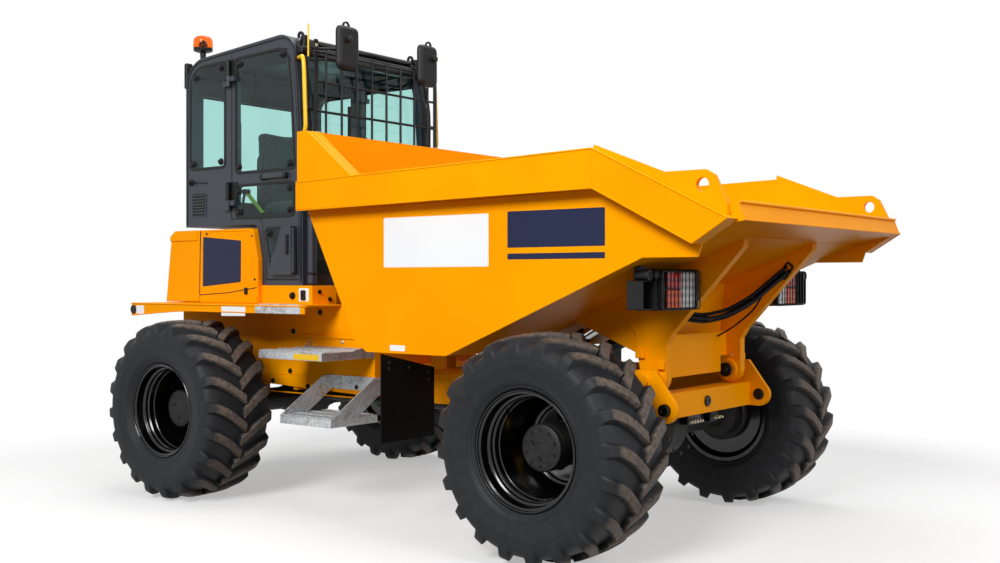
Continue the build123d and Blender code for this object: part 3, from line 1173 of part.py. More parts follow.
shell = cab_shell()
wide, long = (-2 * CAB_X, 2 * CAB_X), (CAB_FRONT_Y - CAB_WALL, CAB_REAR_Y + CAB_WALL)
NODES["cab_frame"] = shell - block(wide, long, (ROOF_SPLIT_Z, ROOF_FRONT_Z + CAB_WALL))
NODES["cab_roof"] = shell - block(wide, long, (CAB_LOW_Z - CAB_WALL, ROOF_SPLIT_Z))
NODES["cab_glass"] = cab_glass()
NODES["cab_base"] = cab_base()
NODES["engine_cover"] = engine_cover()
NODES["bonnet"] = bonnet()
NODES["engine_block"] = engine()
NODES["front_grille"] = front_grille()
NODES["cab_posts"] = cab_posts()
NODES["seat"] = seat()
NODES["console"] = console()
NODES["beacon_stalk"] = beacon_stalk()
NODES["beacon"] = beacon()
for side_name, sign in SIDES:
    NODES[f"door_{side_name}"] = door(sign)
    NODES[f"door_glass_{side_name}"] = door_glass(sign)
NODES["handrails"] = handrails()
NODES["mirrors"] = mirrors()
NODES["decks"] = decks()
NODES["steps"] = steps()
NODES["mudflaps"] = mudflaps()
NODES["skip_lamps"] = skip_lamps()
NODES["lamp_lenses"] = lamp_lenses()
NODES["lamp_guards"] = lamp_guards()
NODES["tail_lamps"] = tail_lamps()

os.makedirs("parts", exist_ok=True)
for name, shape in NODES.items():
    export_step(Pos(0, STAND_SHIFT, 0) * shape, f"parts/{name}.step")
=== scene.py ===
# %% [markdown]
# # A site dumper, dressed in Blender
#
# A site dumper carries its load in a tipping skip ahead of the driver. Its steel frame,
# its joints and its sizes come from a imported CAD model, which this lesson loads first and
# never moves. What is made here is what the CAD model leaves plain: rubber with moulded
# lugs, pressed wheel rims, paint, zinc, glass, lamps and small fittings.
#
# Lengths are metres. X runs across the machine with its right side at minus X, Y runs
# along it with its front at minus Y, and Z is up.

# %% Load the frame
import json

import bmesh
import bpy
import numpy as np
from mathutils import Matrix, Vector

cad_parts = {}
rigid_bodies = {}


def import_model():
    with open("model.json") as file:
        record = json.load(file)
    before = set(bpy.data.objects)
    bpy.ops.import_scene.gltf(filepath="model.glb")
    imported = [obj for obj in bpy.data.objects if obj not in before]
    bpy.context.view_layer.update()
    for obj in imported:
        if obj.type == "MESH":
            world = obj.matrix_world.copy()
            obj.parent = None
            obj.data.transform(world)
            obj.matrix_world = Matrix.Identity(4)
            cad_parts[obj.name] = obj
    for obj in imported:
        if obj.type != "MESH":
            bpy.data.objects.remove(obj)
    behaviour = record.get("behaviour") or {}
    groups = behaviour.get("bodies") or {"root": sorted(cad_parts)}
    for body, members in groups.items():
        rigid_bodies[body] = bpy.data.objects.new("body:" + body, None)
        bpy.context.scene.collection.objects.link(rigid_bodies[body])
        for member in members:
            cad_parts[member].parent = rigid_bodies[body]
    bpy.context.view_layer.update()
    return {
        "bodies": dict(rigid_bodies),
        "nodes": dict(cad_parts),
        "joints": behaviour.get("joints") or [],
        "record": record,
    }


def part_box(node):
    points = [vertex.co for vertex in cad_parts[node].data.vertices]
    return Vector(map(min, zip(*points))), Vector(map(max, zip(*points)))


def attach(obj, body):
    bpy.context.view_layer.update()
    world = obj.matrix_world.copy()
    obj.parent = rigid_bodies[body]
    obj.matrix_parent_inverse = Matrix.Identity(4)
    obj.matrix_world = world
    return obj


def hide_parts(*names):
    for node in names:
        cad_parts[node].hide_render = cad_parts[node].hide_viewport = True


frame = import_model()


# %% [markdown]
# Everything is placed from a few CAD boxes. The articulation pin, where the two halves of
# the machine meet, lies midway between the axles, so places along the machine are counted
# from it: forwards is negative.

# %% Places taken from the frame
def box(node):
    """A CAD node's lowest and highest corners, with Y counted from the articulation pin."""
    return np.array(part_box(node)) - (0, PIN_Y, 0)


def middle(node):
    """Centre of a CAD node's box."""
    low, high = np.array(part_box(node))
    return (low + high) / 2


SIDES = (("right", -1), ("left", 1))
WHEELS = [(end, side, sign) for end in ("front", "rear") for side, sign in SIDES]
PIN_Y = (middle("tyre_front_right")[1] + middle("tyre_rear_right")[1]) / 2
AXLE_Z = middle("tyre_front_right")[2]
SKIP_X = box("skip_tub")[1][0]
DECK_X, DECK_Z = box("decks")[1][[0, 2]]
HOOD_X = 0.65
CAB_X = 0.62
print("pin at", PIN_Y, "axles at", AXLE_Z, "skip side", SKIP_X, "deck top", DECK_Z)


# %% [markdown]
# Colours are written as the sRGB hex values that a paint chart gives. Shaders work with
# linear light, so one function turns hex into linear numbers.

# %% Colour
def linear(code, alpha=1.0):
    """sRGB hex to linear: a straight part near black, and a power of 2.4 above it."""
    parts = np.array([int(code[i:i + 2], 16) for i in (1, 3, 5)]) / 255
    values = np.where(parts <= 0.04045, parts / 12.92, ((parts + 0.055) / 1.055) ** 2.4)
    return (*values.tolist(), alpha)


# %% [markdown]
# A material is a small tree of nodes. One function adds a node with its settings and its
# links, and every finish below is written with it.

# %% Nodes
def add(tree, kind, inputs=None, **settings):
    """Adds a node. Settings are its own properties; inputs are values or other sockets."""
    node = tree.nodes.new(kind)
    for name, value in settings.items():
        setattr(node, name, value)
    for name, value in (inputs or {}).items():
        if isinstance(value, bpy.types.NodeSocket):
            tree.links.new(value, node.inputs[name])
        else:
            node.inputs[name].default_value = value
    return node


def ramp(tree, factor, low, high, dark=(0, 0, 0, 1), light=(1, 1, 1, 1)):
    """Two colours with a straight change between two factors."""
    node = add(tree, "ShaderNodeValToRGB", {"Fac": factor})
    node.color_ramp.elements[0].position = low
    node.color_ramp.elements[1].position = high
    node.color_ramp.elements[0].color = dark
    node.color_ramp.elements[1].color = light
    return node.outputs["Color"]


def mix(tree, factor, first, second, blend="MIX"):
    """Mixes two colours."""
    sockets = {0: factor, 6: first, 7: second}
    return add(tree, "ShaderNodeMix", sockets, data_type="RGBA", blend_type=blend).outputs[2]


def spread(tree, factor, low, high):
    """A number between low and high as the factor goes from 0 to 1."""
    return add(tree, "ShaderNodeMapRange", {"Value": factor, "To Min": low, "To Max": high}).outputs[0]


def material(name, ior=1.5, metallic=0.0):
    """An empty material: its tree, its main shader and the surface's own coordinates."""
    made = bpy.data.materials.new(name)
    made.use_nodes = True
    tree = made.node_tree
    shader = tree.nodes["Principled BSDF"]
    shader.inputs["IOR"].default_value = ior
    shader.inputs["Metallic"].default_value = metallic
    place = add(tree, "ShaderNodeTexCoord").outputs["Object"]
    return made, tree, shader, place


def relief(tree, shader, height, distance, strength=1.0, edge=0.0):
    """Bump on the shader's normal. An edge radius rounds what light does at sharp edges."""
    inputs = {"Height": height, "Distance": distance, "Strength": strength}
    if edge:
        inputs["Normal"] = add(tree, "ShaderNodeBevel", {"Radius": edge}, samples=4).outputs[0]
    tree.links.new(add(tree, "ShaderNodeBump", inputs).outputs[0], shader.inputs["Normal"])


# %% [markdown]
# ## Painted steel
#
# The plates are cut, welded and sprayed with a two-pack enamel. Sprayed enamel is glossy
# and slightly rippled, like orange peel with grains of about 2 mm. Its tone drifts a
# little from plate to plate, and dust dulls it in patches. A real plate's edge is never
# quite sharp, and the thin bright line along it tells the eye that this is thick steel,
# so the shader rounds the light at each edge by a few millimetres.

# %% Painted steel
def enamel(name, colour, deep, rough, peel=0.002, edge=0.003, gloss=0.3, coat=0.0, dust=None):
    """Sprayed enamel: two close tones, fine ripples, rounded light at edges, and a film of dust."""
    made, tree, shader, place = material(name)
    drift = add(tree, "ShaderNodeTexNoise", {"Vector": place, "Scale": 1.3, "Detail": 2.0})
    tone = ramp(tree, drift.outputs["Fac"], 0.35, 0.65)
    shade = mix(tree, tone, linear(deep), linear(colour))
    cloud = add(tree, "ShaderNodeTexNoise", {"Vector": place, "Scale": 9.0, "Detail": 5.0,
        "Roughness": 0.6})
    if dust:
        film = ramp(tree, cloud.outputs["Fac"], 0.5, 0.78)
        shade = mix(tree, film, shade, linear(dust))
    tree.links.new(shade, shader.inputs["Base Color"])
    tree.links.new(spread(tree, cloud.outputs["Fac"], rough - 0.06, rough + 0.1),
                   shader.inputs["Roughness"])
    ripple = add(tree, "ShaderNodeTexNoise", {"Vector": place, "Scale": 1 / (peel * 4), "Detail": 1.0})
    relief(tree, shader, ripple.outputs["Fac"], peel * 0.05, 0.35, edge)
    shader.inputs["Specular IOR Level"].default_value = gloss
    shader.inputs["Coat Weight"].default_value = coat
    shader.inputs["Coat Roughness"].default_value = 0.08
    return made


orange_enamel = enamel("orange enamel on steel", "#FFA400", "#FB9B00", 0.34, gloss=0.04)
grey_enamel = enamel("blue-grey enamel on steel", "#31363F", "#2A2F38", 0.36, gloss=0.35, coat=0.1)
black_enamel = enamel("black gloss enamel on steel", "#050506", "#030304", 0.16, gloss=0.4, coat=0.2)
black_satin = enamel("black satin enamel on steel", "#08090B", "#060708", 0.34, gloss=0.25)
yellow_enamel = enamel("yellow enamel on steel", "#F2C200", "#EAB800", 0.3, coat=0.2)
cast_iron = enamel("painted iron casting", "#1E1D1D", "#161515", 0.48, peel=0.004, gloss=0.25,
                   dust="#33302C")
navy_vinyl = enamel("navy vinyl sheet", "#1E2543", "#1B213D", 0.35, edge=0.0, gloss=0.2)
white_vinyl = enamel("white vinyl sheet", "#F2F3F4", "#ECEEF0", 0.35, edge=0.0)


# %% [markdown]
# ## Rubber
#
# A tyre is moulded from natural rubber filled with carbon black. Fresh rubber has a low
# sheen. The tops of the lugs touch the ground and pick up dry soil, so they turn brown
# grey, while the grooves stay dark. The tyre's mesh stores how high each point stands on
# its lug, and the material reads that to lay the dust.

# %% Rubber
def rubber(name, colour, light, rough, sheen, worn=None):
    """Moulded rubber: a mottled dark grey, and dust where the mesh's own "wear" is high."""
    made, tree, shader, place = material(name, ior=1.52)
    mottle = add(tree, "ShaderNodeTexNoise", {"Vector": place, "Scale": 22.0, "Detail": 6.0,
        "Roughness": 0.65})
    shade = ramp(tree, mottle.outputs["Fac"], 0.3, 0.75, linear(colour), linear(light))
    if worn:
        wear = add(tree, "ShaderNodeAttribute", attribute_name="wear")
        grain = add(tree, "ShaderNodeTexNoise", {"Vector": place, "Scale": 40.0, "Detail": 6.0,
            "Roughness": 0.7})
        patch = add(tree, "ShaderNodeMath", {0: wear.outputs["Fac"], 1: grain.outputs["Fac"]},
                    operation="MULTIPLY")
        dust = ramp(tree, patch.outputs[0], 0.25, 0.62)
        shade = mix(tree, dust, shade, linear(worn))
    tree.links.new(shade, shader.inputs["Base Color"])
    tree.links.new(spread(tree, mottle.outputs["Fac"], rough - 0.1, rough + 0.12),
                   shader.inputs["Roughness"])
    pores = add(tree, "ShaderNodeTexNoise", {"Vector": place, "Scale": 180.0, "Detail": 3.0})
    relief(tree, shader, pores.outputs["Fac"], 0.0006, 0.5)
    shader.inputs["Specular IOR Level"].default_value = sheen
    return made


tyre_rubber = rubber("carbon black tyre rubber", "#111214", "#232427", 0.56, 0.22, "#6B5F55")
flap_rubber = rubber("black sheet rubber", "#040404", "#090909", 0.5, 0.08)
seal_rubber = rubber("extruded sealing rubber", "#060607", "#0F0F11", 0.5, 0.3)


# %% [markdown]
# ## Zinc and bright metal
#
# Treads and hangers are hot-dip galvanised. As the zinc freezes it grows flat crystals,
# called spangle, from 5 to 15 mm across. Each crystal mirrors the light a little
# differently, so a Voronoi pattern gives each cell its own tone and roughness. Boots
# leave brown soil on it. Screws are zinc plated and passivated, which is finer and
# yellower, and a ram's rod is ground and hard chromed.

# %% Metals
def zinc(name, dark, light, crystal, soil=None):
    """Zinc on steel: one tone and roughness to each crystal, and soil in patches."""
    made, tree, shader, place = material(name, metallic=0.8)
    cells = add(tree, "ShaderNodeTexVoronoi", {"Vector": place, "Scale": 1 / crystal})
    tone = add(tree, "ShaderNodeSeparateColor", {"Color": cells.outputs["Color"]})
    shade = ramp(tree, tone.outputs[0], 0.0, 1.0, linear(dark), linear(light))
    rough = spread(tree, tone.outputs[1], 0.3, 0.5)
    if soil:
        cloud = add(tree, "ShaderNodeTexNoise", {"Vector": place, "Scale": 14.0, "Detail": 8.0,
            "Roughness": 0.7})
        shade = mix(tree, ramp(tree, cloud.outputs["Fac"], 0.52, 0.74), shade, linear(soil))
    tree.links.new(shade, shader.inputs["Base Color"])
    tree.links.new(rough, shader.inputs["Roughness"])
    relief(tree, shader, tone.outputs[2], 0.0004, 0.3, 0.002)
    return made


def ground_metal(name, dark, light, rough):
    """Ground or polished metal: fine marks about 1 mm long that vary the gloss."""
    made, tree, shader, place = material(name, metallic=1.0)
    grind = add(tree, "ShaderNodeTexNoise", {"Vector": place, "Scale": 300.0, "Detail": 2.0})
    tree.links.new(spread(tree, grind.outputs["Fac"], rough * 0.6, rough * 1.5), shader.inputs["Roughness"])
    tone = ramp(tree, grind.outputs["Fac"], 0.2, 0.8, linear(dark), linear(light))
    tree.links.new(tone, shader.inputs["Base Color"])
    return made


galvanised = zinc("hot-dip galvanised steel", "#A9AEB2", "#DDE1E3", 0.006, "#7E6A58")
plated_screw = zinc("zinc plated and passivated steel", "#A79F86", "#C9C3AE", 0.003)
chrome_rod = ground_metal("hard chrome rod", "#C9CCD0", "#E6E8EA", 0.14)
mirror_glass = ground_metal("silvered mirror glass", "#D5D9DC", "#DDE1E4", 0.03)


# %% [markdown]
# ## Glass, plastic and cloth
#
# The cab's panes are toughened float glass with a green tint. Light has to pass into
# the cab, so the pane lets shadow rays through as tinted light. Lamp lenses are moulded
# acrylic and polycarbonate. Black plastic is moulded with a fine leather grain, and the
# seat is woven polyester.

# %% Glass
def pane_glass(name, tint, deep, rough=0.0):
    """Clear or tinted glass that also lets light through to what lies behind it."""
    made, tree, shader, place = material(name, ior=1.25)
    waves = add(tree, "ShaderNodeTexNoise", {"Vector": place, "Scale": 2.0})
    shade = ramp(tree, waves.outputs["Fac"], 0.3, 0.7, linear(deep), linear(tint))
    tree.links.new(shade, shader.inputs["Base Color"])
    shader.inputs["Transmission Weight"].default_value = 1.0
    shader.inputs["Roughness"].default_value = rough
    shadow = add(tree, "ShaderNodeLightPath").outputs["Is Shadow Ray"]
    clear = add(tree, "ShaderNodeBsdfTransparent", {"Color": linear(tint)})
    blend = add(tree, "ShaderNodeMixShader", {0: shadow, 1: shader.outputs[0], 2: clear.outputs[0]})
    tree.links.new(blend.outputs[0], tree.nodes["Material Output"].inputs["Surface"])
    return made


def lens(name, colour, deep, pitch):
    """A moulded lens over a dark housing: deep colour, gloss, and ribs or prisms at their pitch."""
    made, tree, shader, place = material(name, ior=1.49)
    ribs = add(tree, "ShaderNodeTexWave", {"Vector": place, "Scale": 1 / pitch / 20}, wave_type="BANDS",
               bands_direction="Z")
    shade = ramp(tree, ribs.outputs["Fac"], 0.1, 0.9, linear(deep), linear(colour))
    tree.links.new(shade, shader.inputs["Base Color"])
    tree.links.new(spread(tree, ribs.outputs["Fac"], 0.08, 0.16), shader.inputs["Roughness"])
    relief(tree, shader, ribs.outputs["Fac"], 0.002, 0.5)
    shader.inputs["Coat Weight"].default_value = 0.25
    shader.inputs["Specular IOR Level"].default_value = 0.2
    return made


tinted_glass = pane_glass("green tinted float glass", "#CFEDE9", "#CBEBE7")
amber_dome = pane_glass("amber polycarbonate dome", "#FF7A14", "#F86C08", 0.12)
amber_lens = lens("amber acrylic lens", "#F0600C", "#C23C04", 0.006)
red_lens = lens("red acrylic lens", "#DE0A12", "#8C0408", 0.006)
clear_lens = lens("clear ribbed acrylic lens", "#E8EBEE", "#B9BFC6", 0.006)


# %% Plastic and cloth
def moulded(name, colour, light, rough=0.45):
    """Moulded plastic with a fine grain of about 1 mm."""
    made, tree, shader, place = material(name, ior=1.49)
    grain = add(tree, "ShaderNodeTexVoronoi", {"Vector": place, "Scale": 700.0})
    cloud = add(tree, "ShaderNodeTexNoise", {"Vector": place, "Scale": 12.0, "Detail": 3.0})
    tree.links.new(ramp(tree, cloud.outputs["Fac"], 0.3, 0.7, linear(colour), linear(light)),
                   shader.inputs["Base Color"])
    tree.links.new(spread(tree, cloud.outputs["Fac"], rough - 0.06, rough + 0.1),
                   shader.inputs["Roughness"])
    relief(tree, shader, grain.outputs["Distance"], 0.0002, 0.4, 0.003)
    shader.inputs["Specular IOR Level"].default_value = 0.25
    return made


def woven(name, warp, weft, pitch):
    """Woven thread in both directions at its pitch, drawn coarse enough to show."""
    made, tree, shader, place = material(name)
    threads = None
    for way in "XYZ":
        wave = add(tree, "ShaderNodeTexWave", {"Vector": place, "Scale": 1 / pitch / 20, "Distortion": 0.4},
                   wave_type="BANDS", bands_direction=way).outputs["Fac"]
        threads = wave if threads is None else add(tree, "ShaderNodeMath", {0: threads, 1: wave},
            operation="MULTIPLY").outputs[0]
    tree.links.new(ramp(tree, threads, 0.02, 0.5, linear(weft), linear(warp)), shader.inputs["Base Color"])
    relief(tree, shader, threads, 0.0008, 0.6)
    shader.inputs["Roughness"].default_value = 0.85
    shader.inputs["Sheen Weight"].default_value = 0.2
    return made


black_plastic = moulded("black moulded polypropylene", "#0B0C0D", "#141517")
seat_cloth = woven("woven polyester seat cloth", "#3A3C40", "#1C1D20", 0.003)
belt_web = woven("woven belt webbing", "#B7D33A", "#93AE22", 0.003)

# %% [markdown]
# ## Dressing the CAD pieces
#
# Each CAD node carries the name of a finish in the record. The nodes whose shape is right
# already stay as they are and take their finish from this table.

# %% Finishes by slot
FINISHES = {
    "orange_paint": orange_enamel, "grey_paint": grey_enamel, "black_paint": black_satin,
    "yellow_paint": yellow_enamel, "grey_casting": cast_iron, "chrome_rod": chrome_rod,
    "tyre_rubber": tyre_rubber, "flap_rubber": flap_rubber, "black_plastic": black_plastic,
    "galvanised": galvanised, "tinted_glass": tinted_glass, "seat_cloth": seat_cloth,
    "amber_lens": amber_dome, "red_lens": red_lens,
}
for entry in frame["record"]["subparts"]:
    node = frame["nodes"][entry["node"]]
    node.data.materials.clear()
    node.data.materials.append(FINISHES[entry["material_slot"]])
frame["nodes"]["front_yoke"].data.materials[0] = orange_enamel


# %% [markdown]
# ## Meshes from arrays
#
# New pieces are surfaces worked out as whole arrays. A grid of points becomes faces by
# joining each point to its neighbours, and a closed grid also joins its last row or
# column to its first. A shape is a pair, its points and its faces, and a piece is one or
# more shapes in one mesh.

# %% Grids and pieces
def grid_faces(rows, columns, wrap_rows=False, wrap_columns=False):
    """Four-cornered faces between neighbours of a grid of points, row by row."""
    down = np.arange(rows if wrap_rows else rows - 1)
    along = np.arange(columns if wrap_columns else columns - 1)
    i, j = np.meshgrid(down, along, indexing="ij")
    i, j = i.ravel(), j.ravel()
    next_i, next_j = (i + 1) % rows, (j + 1) % columns
    corners = [i * columns + j, i * columns + next_j, next_i * columns + next_j, next_i * columns + j]
    return np.stack(corners, 1).tolist()


def joined(shapes):
    """Several shapes as one: each shape's faces count on from the points before it."""
    points, faces, count = [], [], 0
    for shape_points, shape_faces in shapes:
        points.append(np.asarray(shape_points, float).reshape(-1, 3))
        faces += [[index + count for index in face] for face in shape_faces]
        count += len(points[-1])
    return np.concatenate(points), faces


def piece(name, shapes, body, finish, smooth=35, even=True):
    """A mesh object from shapes. It rides on a body, edges sharper than smooth stay sharp, and
    even lighting on its flat faces comes from normals weighted by area."""
    points, faces = joined(shapes)
    mesh = bpy.data.meshes.new(name)
    mesh.from_pydata(points.tolist(), [], faces)
    made = bpy.data.objects.new(name, mesh)
    bpy.context.scene.collection.objects.link(made)
    work = bmesh.new()
    work.from_mesh(mesh)
    bmesh.ops.remove_doubles(work, verts=work.verts, dist=1e-6)
    bmesh.ops.recalc_face_normals(work, faces=work.faces)
    work.to_mesh(mesh)
    work.free()
    mesh.polygons.foreach_set("use_smooth", np.ones(len(mesh.polygons), bool))
    mesh.set_sharp_from_angle(angle=np.radians(smooth))
    mesh.materials.append(finish)
    if even:
        made.modifiers.new("even faces", "WEIGHTED_NORMAL").keep_sharp = True
    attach(made, body)
    return made


def at(x, y, z):
    """A point whose place along the machine is counted from the articulation pin."""
    return np.array([x, PIN_Y + y, z])


def mirrored(shape):
    """The same shape on the machine's other side."""
    return np.asarray(shape[0]).reshape(-1, 3) * (-1, 1, 1), shape[1]


def both(shapes):
    """Shapes on both sides of the machine."""
    return list(shapes) + [mirrored(shape) for shape in shapes]


# %% [markdown]
# Most fittings are one of four shapes: a circle turned about an axis, an outline with
# rounded corners raised into a plate or a ring, a tube along a path, or a box with round
# edges. Each is a grid whose rows are levels, circles or steps along the path.

# %% Turned, raised, bent and boxed shapes
def axes(way):
    """A unit axis and two directions across it."""
    way = np.asarray(way, float) / np.linalg.norm(way)
    first = np.cross(way, (0.0, 0.0, 1.0) if abs(way[2]) < 0.9 else (0.0, 1.0, 0.0))
    first /= np.linalg.norm(first)
    return way, first, np.cross(way, first)


def spun(profile, centre, way, steps=32, closed=False):
    """A profile of (distance along the axis, radius): point = centre + axis d + r (a cos t + b sin t)."""
    way, first, second = axes(way)
    profile = np.asarray(profile, float)
    angle = np.linspace(0, 2 * np.pi, steps, endpoint=False)
    ring = first * np.cos(angle)[:, None] + second * np.sin(angle)[:, None]
    points = np.asarray(centre) + profile[:, None, :1] * way + profile[:, None, 1:] * ring
    faces = grid_faces(len(profile), steps, wrap_rows=closed, wrap_columns=True)
    if not closed:
        last = (len(profile) - 1) * steps
        faces += [list(range(steps)), list(range(last, last + steps))]
    return points, faces


def knob(centre, way, radius, height, lip=0.002, steps=20):
    """A round head or cap with a softened rim."""
    return spun([(0, radius), (height - lip, radius), (height, radius - lip)], centre, way, steps)


def bolt(centre, way, size):
    """A hexagon bolt head on its washer, from the distance across its corners."""
    head = spun([(0, size / 2), (size * 0.3, size / 2), (size * 0.36, size * 0.42)], centre, way, 6)
    return joined([knob(centre, way, size * 0.62, size * 0.08, size * 0.02), head])


def cornered(outline, radius=0.0, steps=4):
    """A closed outline with rounded corners: between its two tangent points A and B, a corner C is the
    curve (1-t)^2 A + 2t(1-t) C + t^2 B. Radius is how far along its sides a corner starts, one or a list."""
    outline = np.asarray(outline, float)
    before, after = np.roll(outline, 1, 0) - outline, np.roll(outline, -1, 0) - outline
    cut = np.broadcast_to(np.asarray(radius, float), len(outline))[:, None]
    first = outline + before / np.linalg.norm(before, axis=1)[:, None] * cut
    last = outline + after / np.linalg.norm(after, axis=1)[:, None] * cut
    t = np.linspace(0, 1, steps + 1)[None, :, None]
    curve = (1 - t) ** 2 * first[:, None] + 2 * t * (1 - t) * outline[:, None] + t ** 2 * last[:, None]
    curve = curve.reshape(-1, outline.shape[1])
    apart = np.linalg.norm(curve - np.roll(curve, 1, 0), axis=1) > 1e-6
    return curve[apart]


def inset(outline, depth):
    """An outline moved inwards: each point goes along the mean of its two sides' normals."""
    side = np.roll(outline, -1, 0) - outline
    turn = np.sign(np.sum(outline[:, 0] * np.roll(outline[:, 1], -1) - np.roll(outline[:, 0],
        -1) * outline[:, 1]))
    normal = np.stack([-side[:, 1], side[:, 0]], 1) * turn / np.linalg.norm(side, axis=1)[:, None]
    before = np.roll(normal, 1, 0)
    return outline + depth * (normal + before) / (1 + np.sum(normal * before, 1))[:, None]


def raised(outline, levels, axis, closed=False):
    """An outline repeated at levels of (place on the axis, inset). It is capped at both ends, or its last
    level joins its first, which makes a ring. The outline's two coordinates are the other two axes."""
    rows = [np.insert(inset(outline, depth), "xyz".index(axis), place, axis=1) for place, depth in levels]
    count = len(outline)
    faces = grid_faces(len(levels), count, wrap_rows=closed, wrap_columns=True)
    if not closed:
        faces += [list(range(count)), list(range(count * (len(levels) - 1), count * len(levels)))]
    return np.concatenate(rows) + (0, PIN_Y, 0), faces


def slab(outline, low, high, axis, soft=0.002, radius=0.0):
    """A plate with rounded corners and softened edges on both faces."""
    soft = min(soft, abs(high - low) * 0.49)
    step = soft * np.sign(high - low)
    levels = [(low, soft), (low + step, 0), (high - step, 0), (high, soft)]
    return raised(cornered(outline, radius), levels, axis)


def rectangle(low_u, low_v, high_u, high_v):
    """Four corners of a rectangle, in order."""
    return [(low_u, low_v), (high_u, low_v), (high_u, high_v), (low_u, high_v)]


def bent(points, radius, steps=5):
    """An open path with rounded corners, by the same curve as an outline's corners."""
    points = np.asarray(points, float)
    before, after = points[:-2] - points[1:-1], points[2:] - points[1:-1]
    cut = np.broadcast_to(np.asarray(radius, float), len(before))[:, None]
    first = points[1:-1] + before / np.linalg.norm(before, axis=1)[:, None] * cut
    last = points[1:-1] + after / np.linalg.norm(after, axis=1)[:, None] * cut
    t = np.linspace(0, 1, steps + 1)[None, :, None]
    curve = (1 - t) ** 2 * first[:, None] + 2 * t * (1 - t) * points[1:-1, None] + t ** 2 * last[:, None]
    return np.concatenate([points[:1], curve.reshape(-1, 3), points[-1:]])


def tube(path, radius, sides=12):
    """A round tube along a path, with closed ends: each ring lies across the path's direction."""
    path = np.asarray(path, float) + (0, PIN_Y, 0)
    way = np.gradient(path, axis=0)
    way /= np.linalg.norm(way, axis=1)[:, None]
    first = np.cross(way, (0.31, 0.17, 0.93))
    first /= np.linalg.norm(first, axis=1)[:, None]
    second = np.cross(way, first)
    angle = np.linspace(0, 2 * np.pi, sides, endpoint=False)
    ring = first[:, None] * np.cos(angle)[None, :, None] + second[:, None] * np.sin(angle)[None, :, None]
    radius = np.broadcast_to(np.asarray(radius, float), len(path))[:, None, None]
    last = (len(path) - 1) * sides
    faces = grid_faces(len(path), sides, wrap_columns=True)
    return (path[:, None] + ring * radius).reshape(-1, 3), faces + [list(range(sides)),
        list(range(last, last + sides))]


def rounded_box(low, high, radius, steps=3):
    """A box with round edges: a ball's grid whose eight parts move out to the box's corners."""
    low, high = np.minimum(low, high), np.maximum(low, high)
    half = (high - low) / 2
    radius = min(radius, half.min() * 0.999)
    quarter = np.linspace(0, np.pi / 2, steps + 1)
    down = np.concatenate([quarter, quarter + np.pi / 2])[:, None]
    turn = np.concatenate([quarter + part * np.pi / 2 for part in range(4)])[None, :]
    ball = np.stack(np.broadcast_arrays(np.sin(down) * np.cos(turn), np.sin(down) * np.sin(turn),
        np.cos(down)), 2)
    part_x = np.repeat([1, -1, -1, 1], steps + 1)[None, :]
    part_y = np.repeat([1, 1, -1, -1], steps + 1)[None, :]
    part_z = np.repeat([1, -1], steps + 1)[:, None]
    corner = np.stack(np.broadcast_arrays(part_x, part_y, part_z), 2) * (half - radius)
    rows, columns = ball.shape[:2]
    faces = grid_faces(rows, columns, wrap_columns=True)
    faces += [list(range(columns)), list(range((rows - 1) * columns, rows * columns))]
    return (low + high) / 2 + corner + ball * radius + (0, PIN_Y, 0), faces


# %% [markdown]
# ## The tyres
#
# A flotation tyre for soft ground carries bars of rubber, the lugs. Each starts on the
# shoulder, curves towards the middle and ends just past it, and the two sides alternate.
# The middle of a lug leads as the wheel rolls forwards.
#
# It could be sculpted, or made by repeating one lug around a ring. Here the whole tyre is
# one height field wrapped round a ring: the columns of the grid follow the lugs, so their
# edges stay crisp with few faces. Each half is a grid and the two meet along a wavy line
# in the middle.

# %% Tyre
LUGS = 20
LUG_TOP = 0.150              # half a lug's top, as a share of the pitch
LUG_FOOT = 0.240             # half its foot
LUG_LAG = np.radians(14.5)
LUG_REACH = 0.228
LUG_CROSS = 0.012            # how far a lug ends past the middle
CROWN = ((0.0000, 0.570, 0.534), (0.0015, 0.570, 0.534), (0.060, 0.569, 0.533), (0.115, 0.567, 0.531),
         (0.165, 0.562, 0.526), (0.190, 0.558, 0.521), (0.205, 0.554, 0.516), (0.218, 0.548, 0.510),
         (0.228, 0.540, 0.502), (0.236, 0.528, 0.494), (0.242, 0.514, 0.486), (0.246, 0.496, 0.475),
         (0.249, 0.472, 0.463), (0.250, 0.455, 0.452))      # x, radius over a lug, radius between lugs
SIDEWALL = ((0.2500, 0.450), (0.2486, 0.446), (0.2496, 0.442), (0.2496, 0.428), (0.2478, 0.400),
            (0.2470, 0.398),
            (0.2440, 0.370), (0.2385, 0.345), (0.2395, 0.342), (0.2350, 0.337), (0.2355, 0.334),
            (0.2290, 0.322),
            (0.2240, 0.318), (0.2225, 0.311), (0.2150, 0.3035), (0.2065, 0.3020), (0.2032, 0.300),
            (0.2032, 0.289),
            (0.1850, 0.288), (0.2050, 0.340), (0.2120, 0.430), (0.1900, 0.490), (0.1000, 0.500),
            (0.0000, 0.502))                                # x, radius


def lug_height(phase):
    """One on a lug's top, zero between lugs, and a slope of a few millimetres at its sides."""
    away = np.abs((phase + 0.5) % 1 - 0.5)
    return np.clip((LUG_FOOT - away) / (LUG_FOOT - LUG_TOP), 0, 1)


